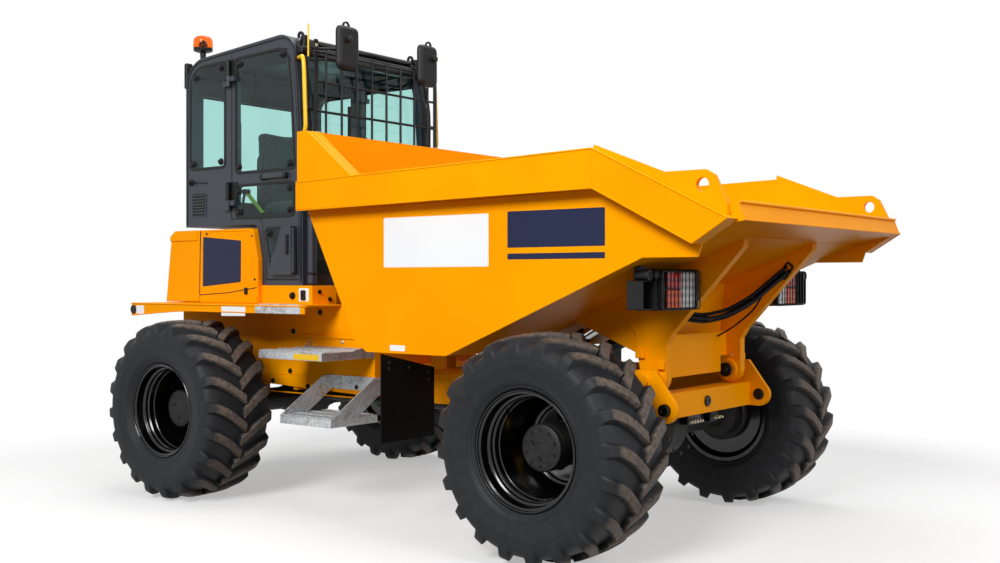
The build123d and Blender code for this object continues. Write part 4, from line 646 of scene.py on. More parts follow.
def half_tyre(side):
    """Half a tyre: radius = groove + height(phase) (lug - groove), and angle = phase / lugs - lag(x), where
    the lag grows from the middle to the shoulder. Its columns fit the other half's, half a pitch away."""
    quarter = np.array([0, 0.09, 0.142, LUG_TOP, 0.162, 0.195, 0.232, LUG_FOOT])
    steps = np.concatenate([quarter, [0.25], 0.5 - quarter[::-1]])
    one = np.concatenate([-steps[:0:-1], steps[:-1]])
    phase = (np.arange(LUGS)[:, None] + one[None, :]).ravel()
    own, other = lug_height(phase), lug_height(phase + 0.5)
    x, top, groove = np.array(CROWN).T
    seam = LUG_CROSS * (other - own)
    across = x[:, None] + np.clip(1 - x / 0.06, 0, 1)[:, None] * seam
    radius = groove[:, None] + own * (top - groove)[:, None]
    radius[0] = groove[0]
    wall = np.array(SIDEWALL)[:, :, None]
    across = np.concatenate([across, np.broadcast_to(wall[:, 0], (len(wall), len(phase)))])
    radius = np.concatenate([radius, np.broadcast_to(wall[:, 1], (len(wall), len(phase)))])
    share = np.clip(np.concatenate([x, wall[:, 0, 0]]) / LUG_REACH, 0, 1)[:, None]
    lag = LUG_LAG * (1.55 * share - 0.55 * share ** 2)
    angle = 2 * np.pi * (phase + (0.5 if side < 0 else 0.0)) / LUGS - lag
    points = np.stack([side * across, radius * np.cos(angle), radius * np.sin(angle)], 2)
    return points.reshape(-1, 3), grid_faces(len(across), len(phase), wrap_columns=True)


tyre_points, tyre_faces = joined([half_tyre(side) for side in (-1, 1)])
for end, side, sign in WHEELS:
    node = f"tyre_{end}_{side}"
    made = piece(f"tyre_tread_{end}_{side}", [(tyre_points + middle(node), tyre_faces)],
                 f"wheel_{end}_{side}",
                 tyre_rubber, smooth=28, even=False)
    span = np.zeros(len(made.data.vertices) * 3)
    made.data.vertices.foreach_get("co", span)
    local = span.reshape(-1, 3) - middle(node)
    height = np.clip((np.hypot(local[:, 1], local[:, 2]) - 0.532) / 0.028, 0, 1)
    store = made.data.attributes.new("wear", "FLOAT", "POINT")
    store.data.foreach_set("value", height * np.clip((0.247 - np.abs(local[:, 0])) / 0.02, 0, 1))
    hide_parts(node)
print("tyre faces", len(tyre_faces), "half width", np.abs(tyre_points[:, 0]).max())

# %% [markdown]
# ## The rims
#
# A rim is rolled from strip steel and welded to a pressed disc. Its section has two bead
# seats, a deep well between them and a rolled lip at each edge, and the disc sits far
# inside. Turning one closed section gives all of it. The bends are arcs of a few short
# steps, so the gloss paint shows the thin rings of light of a rolled rim.

# %% Rims
RIM_SECTION = ((0.2110, 0.2980), (0.2150, 0.2970), (0.2175, 0.2945), (0.2178, 0.2915), (0.2155, 0.2890),
               (0.2110, 0.2880), (0.2070, 0.2865), (0.2040, 0.2800), (0.2020, 0.2765), (0.1960, 0.2750),
               (0.1640, 0.2735), (0.1570, 0.2722), (0.1530, 0.2690), (0.1500, 0.2630), (0.1470, 0.2600),
               (0.1400, 0.2588), (0.1050, 0.2572), (0.0980, 0.2560), (0.0940, 0.2530), (0.0900, 0.2470),
               (0.0870, 0.2445), (0.0800, 0.2435), (-0.0800, 0.2400), (-0.1050, 0.2392), (-0.1280, 0.2370),
               (-0.1420, 0.2290), (-0.1500, 0.2180), (-0.1540, 0.2130), (-0.1560, 0.2050),
               (-0.1640, 0.1980),
               (-0.1675, 0.1900), (-0.1680, 0.1700), (-0.1680, 0.1105), (-0.1820, 0.1105),
               (-0.1820, 0.2480),
               (-0.2130, 0.2760), (-0.2130, 0.2980), (-0.2030, 0.2980), (-0.2030, 0.2860),
               (-0.1580, 0.2830),
               (-0.1230, 0.2500), (0.1230, 0.2500), (0.1580, 0.2830), (0.2030, 0.2860), (0.2030, 0.2980))
for end, side, sign in WHEELS:
    rim = spun(RIM_SECTION, middle(f"tyre_{end}_{side}"), (sign, 0, 0), 128, closed=True)
    made = piece(f"rolled_rim_{end}_{side}", [rim], f"wheel_{end}_{side}", black_enamel, 30)
    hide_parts(f"rim_{end}_{side}")

# %% [markdown]
# ## The hubs
#
# Each wheel has a planetary gear in its hub. The drum is a casting with a flat cover held
# by a ring of screws, and eight studs with nuts hold the disc. Some nuts wear a yellow cap
# whose pointer shows a fitter that the nut has not turned. The drum is one turned profile,
# and the screws and nuts are small turned shapes set round circles.

# %% Hubs
HUB_SECTION = ((-0.232, 0.052), (-0.232, 0.160), (-0.227, 0.165), (-0.187, 0.165), (-0.182, 0.160),
               (-0.182, 0.1100),
               (-0.080, 0.1095), (-0.072, 0.1130), (-0.066, 0.1180), (0.040, 0.1190), (0.0400, 0.1165),
               (0.0440, 0.1165),
               (0.0440, 0.1190), (0.066, 0.1190), (0.073, 0.1160), (0.077, 0.1100), (0.0785, 0.1020),
               (0.0785, 0.1005),
               (0.080, 0.0995), (0.081, 0.0740), (0.0795, 0.0735), (0.0795, 0.0725), (0.081, 0.0720),
               (0.0815, 0.0300),
               (0.0775, 0.0285), (0.0775, 0.0))
STUD_R = 0.1375
CAPPED = {"front": (7,), "rear": (1, 2, 7)}      # nuts with a yellow cap, counted round the wheel


def around(count, radius, start=0.5):
    """Evenly spaced places (y, z) on a circle."""
    angle = 2 * np.pi * (np.arange(count) + start) / count
    return radius * np.stack([np.cos(angle), np.sin(angle)], 1)


for end, side, sign in WHEELS:
    heart, body = middle(f"tyre_{end}_{side}"), f"wheel_{end}_{side}"
    outwards = (sign, 0, 0)
    drum = piece(f"hub_drum_{end}_{side}", [spun(HUB_SECTION, heart, outwards, 64)], body, cast_iron,
                 30)
    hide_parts(f"hub_{end}_{side}")
    studs = [heart + (-sign * 0.168, y, z) for y, z in around(8, STUD_R)]
    nuts = [spun([(0, 0.0195), (0.004, 0.0195), (0.004, 0.017), (0.022, 0.017), (0.025, 0.014)], stud,
                 outwards, 6) for stud in studs]
    threads = [knob(stud, outwards, 0.0095, 0.036) for stud in studs]
    cover_screws = [bolt(heart + (sign * 0.080, y, z), outwards, 0.0135) for y, z in around(10, 0.088)]
    plugs = [bolt(heart + (sign * 0.081, y, z), outwards, 0.022) for y,
             z in ((0.0, -0.052), (0.045, 0.026))]
    centre_ribs = [spun([(0, 0.004), (0.001, 0.004), (0.0015, 0.003)], heart + (sign * 0.0812, y, z),
                        outwards, 6)
                   for y, z in around(12, 0.05)]
    piece(f"wheel_nuts_{end}_{side}", nuts + threads + cover_screws + plugs + centre_ribs, body,
          black_satin)
    caps = [knob(studs[index] + (sign * 0.004, 0, 0), outwards, 0.0165, 0.026, 0.006,
                 12) for index in CAPPED[end]]
    pointers = [spun([(0, 0.012), (0.004, 0.012)], studs[index] + (sign * 0.006, 0.016, 0.0), outwards,
                     3) for index in CAPPED[end]]
    piece(f"nut_caps_{end}_{side}", caps + pointers, body, yellow_enamel)
    valve = spun([(0, 0.006), (0.03, 0.005), (0.032, 0.004), (0.045, 0.004)],
                 heart + (sign * 0.100, 0.18, 0.168), (sign, -0.4, -0.38), 12)
    piece(f"tyre_valve_{end}_{side}", [valve], body, seal_rubber)
print("hubs", len(WHEELS))


# %% [markdown]
# ## Blank plates
#
# Hire machines carry vinyl sheets on their flanks. Here they are blank: white ones, and
# navy ones with a stripe under them, each a thin sheet with small round corners stuck on
# the painted side.

# %% Plates
PLATES = (
    # name, body, finish, face x, corners as (y from the pin, z)
    ("hire_plate", "skip", white_vinyl, SKIP_X, ((-1.041, 1.465), (-0.297, 1.465), (-0.297, 1.740),
        (-1.041, 1.740))),
    ("side_plate", "skip", navy_vinyl, SKIP_X, ((-1.753, 1.560), (-1.164, 1.560), (-1.164, 1.745),
        (-1.753, 1.745))),
    ("side_stripe", "skip", navy_vinyl, SKIP_X, ((-1.753, 1.500), (-1.164, 1.500), (-1.164, 1.530),
        (-1.753, 1.530))),
    ("keel_plate", "skip", white_vinyl, SKIP_X, ((-0.456, 1.004), (-0.344, 1.004), (-0.344, 1.036),
        (-0.456, 1.036))),
    ("hood_plate", "rear_frame", navy_vinyl, HOOD_X, ((1.372, 1.382), (1.775, 1.350), (1.770, 1.693),
        (1.369, 1.660))),
    ("deck_plate", "rear_frame", white_vinyl, DECK_X, ((0.953, 1.170), (1.187, 1.166), (1.187, 1.228),
        (0.953, 1.228))),
    ("corner_plate", "rear_frame", white_vinyl, DECK_X, ((2.010, 1.165), (2.098, 1.165), (2.098, 1.221),
        (2.010, 1.221))),
    ("base_plate", "rear_frame", white_vinyl, CAB_X, ((0.742, 1.257), (0.834, 1.257), (0.834, 1.343),
        (0.742, 1.343))),
    ("chassis_plate", "rear_frame", white_vinyl, 0.50, ((0.300, 1.090), (0.400, 1.090), (0.400, 1.150),
        (0.300, 1.150))),
)
for name, body, finish, x, corners in PLATES:
    for side, sign in SIDES:
        sheet = slab(corners, sign * x, sign * (x + 0.0012), "x", 0.0003, 0.006)
        piece(f"{name}_{side}", [sheet], body, finish)

# %% [markdown]
# ## Edges of the skip
#
# The skip is cut from 10 mm plate and its rim is a welded box. Where two plates meet, the
# welder leaves a bead about 8 mm wide, and the free edges are ground round. Under paint
# these are what gives the skip its thin bright lines. A bead is a thin bar that follows
# the joint, half sunk into the plates.

# %% Beads, ridges and the lip's bar
RIM_X = box("skip_rim")[1][0]
RIM_TOP = ((0.320, 1.965), (-1.735, 2.020), (-2.440, 1.669))      # the rim's upper edge, y and z
RIM_LOW = ((0.320, 1.800), (-1.735, 1.832), (-2.266, 1.560))      # its lower edge
LIP_TOP = (-2.447, 1.744)                                         # the bar along the lip
HEAD_SLOPE = ((-0.115, 1.967), (0.243, 2.258))                    # a gusset's sloping face


def bead(points, radius=0.005):
    """A round bar along a joint, given as points of one shape."""
    return tube(bent(points, 0.01, 2) if len(points) > 2 else np.linspace(*np.asarray(points, float), 3),
                radius, 8)


rim_lines = [bead([(RIM_X - 0.001, y, z) for y, z in RIM_TOP]),
             bead([(RIM_X - 0.001, y, z) for y, z in RIM_LOW], 0.004),
             bead([(RIM_X - 0.001, *RIM_TOP[1]), (RIM_X - 0.001, *RIM_LOW[1])], 0.0035),
             bead([(RIM_X - 0.001, *RIM_TOP[2]), (RIM_X - 0.001, *RIM_LOW[2])], 0.006),
             bead([(RIM_X - 0.018, -2.425, 1.664), (RIM_X - 0.018, -2.262, 1.564)], 0.004),
             bead([(SKIP_X + 0.001, -0.30, 1.8), (SKIP_X + 0.001, -1.735, 1.831)], 0.004)]
slope = np.array(HEAD_SLOPE)
across = np.array([slope[0, 1] - slope[1, 1], slope[1, 0] - slope[0,
    0]]) / np.linalg.norm(slope[1] - slope[0])
gusset_ridges = [slab(np.concatenate([slope, slope[::-1] + across * 0.008]), x, x + 0.014, "x", 0.002)
                 for x in (0.998, 1.050)]
piece("skip_edge_beads", both(rim_lines + gusset_ridges), "skip", orange_enamel)
lip_bar = [tube([(-1.0, *LIP_TOP), (0.0, *LIP_TOP), (1.0, *LIP_TOP)], 0.008, 12),
           tube([(-1.0, -2.470, 1.664), (0.0, -2.470, 1.664), (1.0, -2.470, 1.664)], 0.0035, 8)]
piece("lip_bar", lip_bar, "skip", orange_enamel)


# %% [markdown]
# ## Lamps under the nose
#
# A lamp cluster hangs under each side of the skip's nose: brake and turn lenses outboard
# and a white reversing lens inboard. Stones fall here, so a guard of bent rods
# stands before the lenses. The housing is moulded plastic, the lenses are acrylic, and
# the rods are steel, bent from one piece each with a radius of about three times their
# thickness.

# %% Lamp clusters
LAMP_LOW, LAMP_HIGH = box("lamp_guards")          # the guard's box spans both lamps
LAMP_IN, LAMP_OUT = 0.470, LAMP_HIGH[0]
LAMP_FACE = box("lamp_lenses")[1][1]
LAMP_BOTTOM, LAMP_TOP = LAMP_LOW[2], LAMP_HIGH[2]
LAMP_BACK = box("skip_lamps")[1][1]

housing = slab([(LAMP_FACE, LAMP_BOTTOM + 0.004), (LAMP_BACK, LAMP_BOTTOM + 0.004), (LAMP_BACK, 1.424),
                (-1.868, 1.450),
                (LAMP_FACE, 1.450)], LAMP_IN + 0.003, LAMP_OUT - 0.003, "x", 0.008, 0.010)
BRACKET = ((0.848, 0.956), (-1.925, -1.835), (1.252, 1.392))      # hollow bracket outboard of the housing
(bx0, bx1), (by0, by1), (bz0, bz1) = BRACKET
bracket = [rounded_box((bx0, by1 - 0.005, bz0), (bx1, by1, bz1), 0.002),
           rounded_box((bx0, by0, bz0), (bx0 + 0.005, by1, bz1), 0.002),
           rounded_box((bx1 - 0.005, by0, bz0), (bx1, by1, bz1), 0.002),
           rounded_box((bx0, by0, bz0), (bx1, by1, bz0 + 0.005), 0.002),
           rounded_box((bx0, by0, bz1 - 0.005), (bx1, by1, bz1), 0.002),
           rounded_box((0.870, -1.900, bz1), (0.930, -1.860, 1.462), 0.004),
           spun([(0, 0.022), (0.012, 0.028), (0.070, 0.030), (0.078, 0.026), (0.080, 0.012),
                 (0.074, 0.010)], at(0.913, -1.860, 1.419), (0, -1, 0), 28),
           knob(at(0.853, -1.900, 1.420), (0, -1, 0), 0.022, 0.050, 0.008)]
piece("lamp_housings", both([housing] + bracket), "skip", black_plastic)
bracket_bolts = [bolt(at(0.930, by1 - 0.005, 1.362), (0, -1, 0), 0.016),
                 bolt(at(0.875, by1 - 0.005, 1.275), (0, -1, 0), 0.012)]
piece("lamp_bracket_bolts", both(bracket_bolts), "skip", plated_screw)
for name, finish, slot, low, high in (("stop_lenses", red_lens, "red_lens", (0.624, 1.352), (0.760, 1.438)),
                                      ("turn_lenses", amber_lens, "amber_lens", (0.624, 1.256),
                                          (0.760, 1.346)),
                                      ("reversing_lenses", clear_lens, "tinted_glass", (0.484, 1.256),
                                          (0.620, 1.438))):
    piece(name, both([slab(rectangle(*low, *high), LAMP_FACE - 0.001, LAMP_FACE - 0.014, "y", 0.004,
                           0.008)]), "skip", finish)

# %% Lamp guards
GUARD_Y = LAMP_LOW[1]
GUARD_ROD = 0.003
rods = [tube(bent([(x, LAMP_FACE, LAMP_TOP - 0.008), (x, GUARD_Y + GUARD_ROD, LAMP_TOP - 0.008),
                   (x, GUARD_Y + GUARD_ROD, LAMP_BOTTOM + 0.008), (x, LAMP_FACE, LAMP_BOTTOM + 0.008)],
                   0.018), GUARD_ROD, 8)
        for x in np.linspace(LAMP_IN + 0.022, LAMP_OUT - 0.022, 10)]
ends = [tube(bent([(x, LAMP_FACE, 1.400), (x, GUARD_Y + 0.012, 1.400), (x, GUARD_Y + 0.012, 1.295),
                   (x, LAMP_FACE, 1.295)], 0.018), GUARD_ROD, 8)
        for x in (LAMP_IN + 0.006, LAMP_OUT - 0.006)]
face = cornered(rectangle(LAMP_IN + 0.004, LAMP_BOTTOM + 0.004, LAMP_OUT - 0.004, LAMP_TOP - 0.004), 0.028,
                5)
frame_ring = raised(face, [(LAMP_FACE, 0.0), (LAMP_FACE - 0.026, 0.0), (LAMP_FACE - 0.030, 0.003),
                           (LAMP_FACE - 0.030, 0.010),
                           (LAMP_FACE - 0.026, 0.013), (LAMP_FACE, 0.013)], "y", closed=True)
guards = piece("lamp_guard_rods", both(rods + ends + [frame_ring]), "skip", black_satin)
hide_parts("lamp_guards")
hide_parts("skip_lamps")
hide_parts("lamp_lenses")
print("guard rods", len(rods) * 2)

# %% [markdown]
# ## Wires, pins and small fittings on the nose
#
# The lamps' wires run in black sleeves through a slot in one arm, across under the nose
# in a slack bow, and into the other arm. They are clipped at both ends and turn with the
# skip, so they are fixed pieces. Bare pins are blacked steel, and grease nipples and
# screws are zinc plated.

# %% Wires between the arms
ARM_X = 0.400
LOOM = ((0.405, -2.045, 1.452), (0.340, -2.005, 1.400), (0.210, -1.920, 1.285), (0.060, -1.850, 1.215),
        (-0.100, -1.800, 1.190),
        (-0.270, -1.775, 1.205), (-0.405, -1.770, 1.245))
loom = [tube(bent(np.array(LOOM) + (0, dy, dz), 0.055, 6), radius, 10)
        for dy, dz, radius in ((0, 0.016, 0.010), (-0.018, -0.004, 0.010), (0.012, -0.010, 0.009),
            (-0.006, -0.024, 0.007))]
drop = tube(bent([(0.300, -1.968, 1.345), (0.300, -1.900, 1.230), (0.285, -1.780, 1.130),
                  (0.262, -1.690, 1.075)], 0.05), 0.005, 8)
grommets = [raised(cornered([(-2.092, 1.470), (-2.055, 1.500), (-2.000, 1.420), (-2.035, 1.392)], 0.018),
                   [(ARM_X, -0.003), (ARM_X - 0.006, -0.003), (ARM_X - 0.008, 0.0), (ARM_X - 0.008, 0.006),
                    (ARM_X, 0.006)], "x", closed=True)]
sleeves = [knob(at(-ARM_X, -1.770, 1.245), (1, 0, 0), 0.028, 0.008)]
piece("wire_loom", loom + [drop] + grommets + sleeves, "skip", flap_rubber)
ties = [spun([(-0.006, 0.0), (-0.006, 0.021), (0.006, 0.021), (0.006, 0.0)],
             at(*LOOM[2]) + (0.0, -0.002, 0.000), (0.13, 0.08, 0.10), 14),
        spun([(-0.006, 0.0), (-0.006, 0.021), (0.006, 0.021), (0.006, 0.0)],
             at(*LOOM[4]) + (0.0, -0.002, 0.002), (0.16, 0.04, 0.02), 14)]
piece("loom_ties", ties, "skip", black_plastic)

# %% Pins, plugs and bosses
TIP = (-1.690, AXLE_Z + 0.310)
EAR = (-1.816, AXLE_Z + 0.162)
ARM_OUT = 0.455
PIN_END = ARM_X - 0.034        # the pins end here, proud of the arms' inner bosses
pins = [knob(at(PIN_END, *TIP), (-1, 0, 0), 0.040, 0.014, 0.004, 28), knob(at(PIN_END - 0.014, *TIP),
    (-1, 0, 0), 0.018, 0.012, 0.003),
        knob(at(ARM_OUT, *TIP), (1, 0, 0), 0.044, 0.012, 0.004, 28)]
piece("tip_pin_caps", both(pins), "skip", black_satin)
nipples = [knob(at(x, TIP[0] + dy, TIP[1] + dz), (-1 if x > 0 else 1, 0, 0), 0.006, 0.014, 0.003, 10)
           for x in (-ARM_X + 0.001, ARM_X - 0.001) for dy, dz in ((-0.02, 0.085), (0.045, 0.07))]
piece("grease_nipples", nipples, "skip", plated_screw)
root_blocks = [rounded_box((-ARM_OUT - 0.022, -1.640, 0.985), (-ARM_OUT, -1.590, 1.035), 0.006),
               rounded_box((-ARM_OUT - 0.022, -1.760, 0.930), (-ARM_OUT, -1.720, 0.975), 0.006)]
# where the sloping nose floor begins, and its rise per length
NOSE_FOOT, NOSE_SLOPE = (-0.750, AXLE_Z + 0.420), 0.4215


def nose_z(y):
    """Height of the nose floor's underside."""
    return NOSE_FOOT[1] + NOSE_SLOPE * (NOSE_FOOT[0] - y)


webs = [slab([(-1.612, AXLE_Z + 0.430), (-1.560, AXLE_Z + 0.560), (-1.430, nose_z(-1.430) + 0.004),
              (-1.180, nose_z(-1.180) + 0.004)],
             ARM_X + 0.036, ARM_X + 0.050, "x", 0.002)]
belly = slab([(-1.628, AXLE_Z + 0.440), (-1.668, nose_z(-1.668) + 0.003), (-1.660, nose_z(-1.660) + 0.003),
              (-1.620, AXLE_Z + 0.440)], 0.002 - ARM_X, ARM_X - 0.002, "x", 0.001)
piece("arm_root_plates", both(root_blocks + webs) + [belly], "skip", orange_enamel)
ear_pins = [spun([(0, 0.0), (0, 0.032), (0.030, 0.032), (0.034, 0.028), (0.034, 0.012), (0.030, 0.010),
                  (0.030, 0.0)], at(0.545, *EAR), (1, 0, 0), 28),
            spun([(0, 0.0), (0, 0.032), (0.030, 0.032), (0.034, 0.028), (0.034, 0.0)], at(0.555, *EAR),
                 (-1, 0, 0), 28)]
beam_plug = [spun([(0, 0.0), (0, 0.0255), (0.012, 0.0255), (0.012, 0.030), (0.018, 0.030), (0.021, 0.026),
                   (0.021, 0.014), (0.017, 0.012), (0.017, 0.0)],
                  at(0.0, -1.752, 0.734), (0, -1, 0), 28)]
piece("beam_pins", both(ear_pins) + beam_plug, "front_frame", black_satin)
flap_low = box("mudflaps")[0]
flap_bolts = [bolt(at(x, flap_low[1], z), (0, -1, 0), 0.018) for x, z in ((0.83, 0.880), (0.99, 0.915),
    (1.15, 0.950), (0.83, 0.840), (1.15, 0.915))]
piece("flap_bolts", both(flap_bolts), "front_frame", black_satin)


# %% [markdown]
# ## The cab's panes, seals and knobs
#
# Each pane is 6 mm glass that lies almost flush with the sheet metal. An extruded rubber
# seal runs all round it, and black knobs at its corners clamp it. A pane and its seal are
# raised from one outline, the pane a little larger and the seal as a ring, so the two
# always fit.

# %% Panes
WINDOWS = {
    # name: corners as (y from the pin, z), and how far along its sides each corner's rounding starts
    "upper": (((0.876, 2.120), (0.906, 2.600), (0.942, 2.908), (1.458, 2.890), (1.458, 2.120)),
              (0.035, 0.0, 0.100, 0.035, 0.035)),
    "middle": (((0.883, 1.815), (0.883, 2.030), (1.455, 2.030), (1.455, 1.815)), 0.035),
    "low": (((0.883, 1.445), (0.883, 1.735), (1.160, 1.735), (1.112, 1.530), (1.105, 1.445)),
            (0.035, 0.035, 0.035, 0.0, 0.035)),
    "quarter": (((1.575, 2.170), (1.575, 2.886), (1.950, 2.872), (1.950, 2.170)),
                (0.035, 0.035, 0.160, 0.035)),
}
GLASS = 0.006
SEAL_W = 0.020               # seen width of a seal
SEAL_OUT = 0.004             # how far it stands proud of the sheet
# latch cover on the low pane
POD = ((0.845, 1.432), (1.072, 1.438), (1.040, 1.520), (0.962, 1.738), (0.850, 1.738))


def pane(outline, x, grow=0.012):
    """Glass in the sheet's plane, larger than its opening by grow."""
    return raised(inset(outline, -grow), [(x - GLASS, 0.0), (x, 0.0)], "x")


def seal(outline, x, out=SEAL_OUT, width=SEAL_W):
    """A ring with a round back: its section runs from the outer foot over the back to the inner lip."""
    turn = np.linspace(0, np.pi, 7)
    back = [(x + out * np.sin(t) ** 0.6, -0.012 + width * (1 - np.cos(t)) / 2) for t in turn]
    return raised(outline, [(x - GLASS - 0.002, -0.012)] + back + [(x - GLASS - 0.002, width - 0.012)], "x",
                  closed=True)


FLUSH = CAB_X + 0.001
outlines = {name: cornered(corners, radius, 6) for name, (corners, radius) in WINDOWS.items()}
for side, sign in SIDES:
    sided = (lambda shape: shape) if sign > 0 else mirrored
    body = f"door_{side}"
    glass = piece(f"door_panes_{side}", [sided(pane(outlines[name], FLUSH)) for name in ("upper", "middle",
        "low")], body,
                  tinted_glass, even=False)
    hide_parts(f"door_glass_{side}")
    piece(f"door_seals_{side}", [sided(seal(outlines[name], FLUSH)) for name in ("upper", "middle", "low")],
          body,
          seal_rubber)
piece("quarter_seals", both([seal(outlines["quarter"], FLUSH)]), "rear_frame", seal_rubber)

# A black band is printed on each pane where it lies over sheet metal at its top.
BAND_X = (CAB_X - 0.0015, CAB_X + 0.0004)
door_band = slab([(0.925, 2.800), (0.945, 2.900), (0.990, 2.905), (1.450, 2.886), (1.450, 2.800)], *BAND_X,
                 "x", 0.0004, (0.0, 0.03, 0.03, 0.03, 0.0))
quarter_band = slab([(1.585, 2.790), (1.585, 2.880), (1.800, 2.868), (1.900, 2.830), (1.935, 2.750),
                     (1.900, 2.790)], *BAND_X, "x", 0.0004)
for side, sign in SIDES:
    piece(f"door_band_{side}", [door_band if sign > 0 else mirrored(door_band)], f"door_{side}",
          black_enamel)
gaps = [rounded_box((CAB_X - 0.002, 1.4985, 1.800), (CAB_X + 0.0016, 1.5075, 2.915), 0.0008)]
piece("cab_gaps", both([quarter_band] + gaps), "rear_frame", seal_rubber)

# z and y of the windscreen's outer face
SCREEN = ((1.430, 0.821), (2.100, 0.821), (2.600, 0.851), (2.850, 0.8885))
screen_x = 0.545
front_line = [(y, z) for z, y in SCREEN]
windscreen = raised(np.array(front_line + [(y + GLASS, z) for y, z in front_line[::-1]]),
                    [(-screen_x, 0.0), (screen_x, 0.0)], "x")
rear_outline = cornered(rectangle(-0.500, 1.960, 0.500, 2.700), 0.040, 6)
rear_pane = raised(inset(rear_outline, -0.012), [(2.001 - GLASS, 0.0), (2.001, 0.0)], "y")
rear_seal = raised(rear_outline, [(1.993, -0.012), (2.001, -0.012), (2.005, -0.009), (2.005, 0.005),
    (2.001, 0.008), (1.993, 0.008)], "y", closed=True)
glazing = piece("cab_panes", [windscreen, rear_pane] + both([pane(outlines["quarter"], FLUSH)]),
                "rear_frame", tinted_glass,
                even=False)
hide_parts("cab_glass")
piece("rear_seal", [rear_seal], "rear_frame", seal_rubber)

# %% Knobs
DOOR_KNOBS = ((0.990, 2.868), (1.418, 2.850), (1.418, 2.158), (0.920, 2.152), (1.418, 1.992),
              (0.920, 1.992), (1.418, 1.852),
              (0.920, 1.852), (1.120, 1.700), (1.070, 1.478))
QUARTER_KNOBS = ((1.612, 2.848), (1.880, 2.806), (1.612, 2.206), (1.912, 2.206))


def pane_knob(y, z):
    """A domed clamp knob with a collar."""
    return spun([(-0.002, 0.024), (0.005, 0.024), (0.007, 0.017), (0.014, 0.017), (0.021, 0.013),
                 (0.024, 0.006), (0.0245, 0.0)],
                at(FLUSH, y, z), (1, 0, 0), 18)


for side, sign in SIDES:
    sided = (lambda shape: shape) if sign > 0 else mirrored
    piece(f"door_knobs_{side}", [sided(pane_knob(y, z)) for y, z in DOOR_KNOBS], f"door_{side}",
          black_plastic)
piece("quarter_knobs", both([pane_knob(y, z) for y, z in QUARTER_KNOBS]), "rear_frame", black_plastic)

# %% [markdown]
# ## Doors
#
# A door has a bar handle with black ends on its middle rail, two cast hinges whose leaves
# are bolted to door and cab, and a latch cover with a lever. The fixed sheet behind it
# carries a vent with pressed louvres.

# %% Door fittings
HINGE_Z = ((1.935, 2.060), (2.760, 2.890))
HINGE_Y = 1.5025
handle = [rounded_box((0.632, 0.960, 2.062), (0.648, 1.165, 2.092), 0.007)]
handle_ends = [rounded_box((0.618, y - 0.020, 2.055), (0.652, y + 0.016, 2.098), 0.012) for y in (0.955,
    1.175)]
door_leaves, frame_leaves, hinge_bolts, frame_bolts = [], [], [], []
for low, high in HINGE_Z:
    door_leaves.append(rounded_box((0.620, HINGE_Y - 0.062, low), (0.629, HINGE_Y - 0.008, high), 0.004))
    frame_leaves.append(rounded_box((0.620, HINGE_Y + 0.006, low), (0.629, HINGE_Y + 0.058, high), 0.004))
    frame_leaves.append(spun([(0, 0.012), (0.002, 0.015), (high - low - 0.002, 0.015), (high - low, 0.012)],
                             at(0.642, HINGE_Y + 0.012, low), (0, 0, 1), 18))
    hinge_bolts += [bolt(at(0.629, HINGE_Y - 0.040, z), (1, 0, 0), 0.016) for z in (low + 0.025,
        high - 0.025)]
    frame_bolts += [bolt(at(0.629, HINGE_Y + 0.042, z), (1, 0, 0), 0.016) for z in (low + 0.025,
        high - 0.025)]
latch_pod = slab(POD, 0.620, 0.668, "x", 0.014, 0.020)
latch_lever = [rounded_box((0.668, 0.880, 1.560), (0.680, 0.905, 1.690), 0.005)]
VENT = ((1.775, 1.835), (1.932, 2.003))
vent_frame = [raised(cornered(rectangle(*VENT[0], *VENT[1]), 0.012), [(0.620, 0.0), (0.624, 0.0),
    (0.626, 0.002), (0.626, 0.008),
                                                                     (0.624, 0.010), (0.620, 0.010)], "x",
                                                                         closed=True)]
louvres = [rounded_box((0.617, VENT[0][0] + 0.014, z - 0.010), (0.629, VENT[1][0] - 0.014, z),
                       0.004) for z in
           np.linspace(VENT[0][1] + 0.030, VENT[1][1] - 0.014, 7)]
# Painted shade: a black sheet inside the vent's frame stands for the dark openings between the louvres.
vent_dark = [slab(rectangle(VENT[0][0] + 0.008, VENT[0][1] + 0.008, VENT[1][0] - 0.008, VENT[1][1] - 0.008),
                  0.6195, 0.6212, "x", 0.0005)]
side_knob = [spun([(0, 0.022), (0.010, 0.022), (0.012, 0.016), (0.030, 0.018), (0.036, 0.012),
                   (0.036, 0.0)], at(0.620, 1.938, 2.078), (1, 0, 0), 18),
             tube([(0.6235, 1.925, 2.077), (0.6235, 1.84, 2.072), (0.6235, 1.757, 2.066)], 0.004, 8)]
for side, sign in SIDES:
    sided = (lambda shapes: shapes) if sign > 0 else (lambda shapes: [mirrored(shape) for shape in shapes])
    piece(f"door_handle_{side}", sided(handle), f"door_{side}", grey_enamel)
    piece(f"door_fittings_{side}", sided(handle_ends + door_leaves + hinge_bolts + latch_lever),
          f"door_{side}", black_plastic)
    piece(f"latch_cover_{side}", sided([latch_pod]), f"door_{side}", grey_enamel)
piece("cab_hinges", both(frame_leaves + frame_bolts), "rear_frame", black_satin)
piece("vent_louvres", both(vent_frame + louvres), "rear_frame", grey_enamel)
piece("vent_dark", both(vent_dark + side_knob), "rear_frame", black_plastic)

# %% [markdown]
# ## The cab's outline, roof and front
#
# The cab's frame is a bent tube behind the side sheet, and the sheet's edge shows as a
# raised line all round. A round bar crosses the roof's front edge, with lifting eyes at
# its ends. Wires and hoses run up the front posts, behind the yellow handrails.

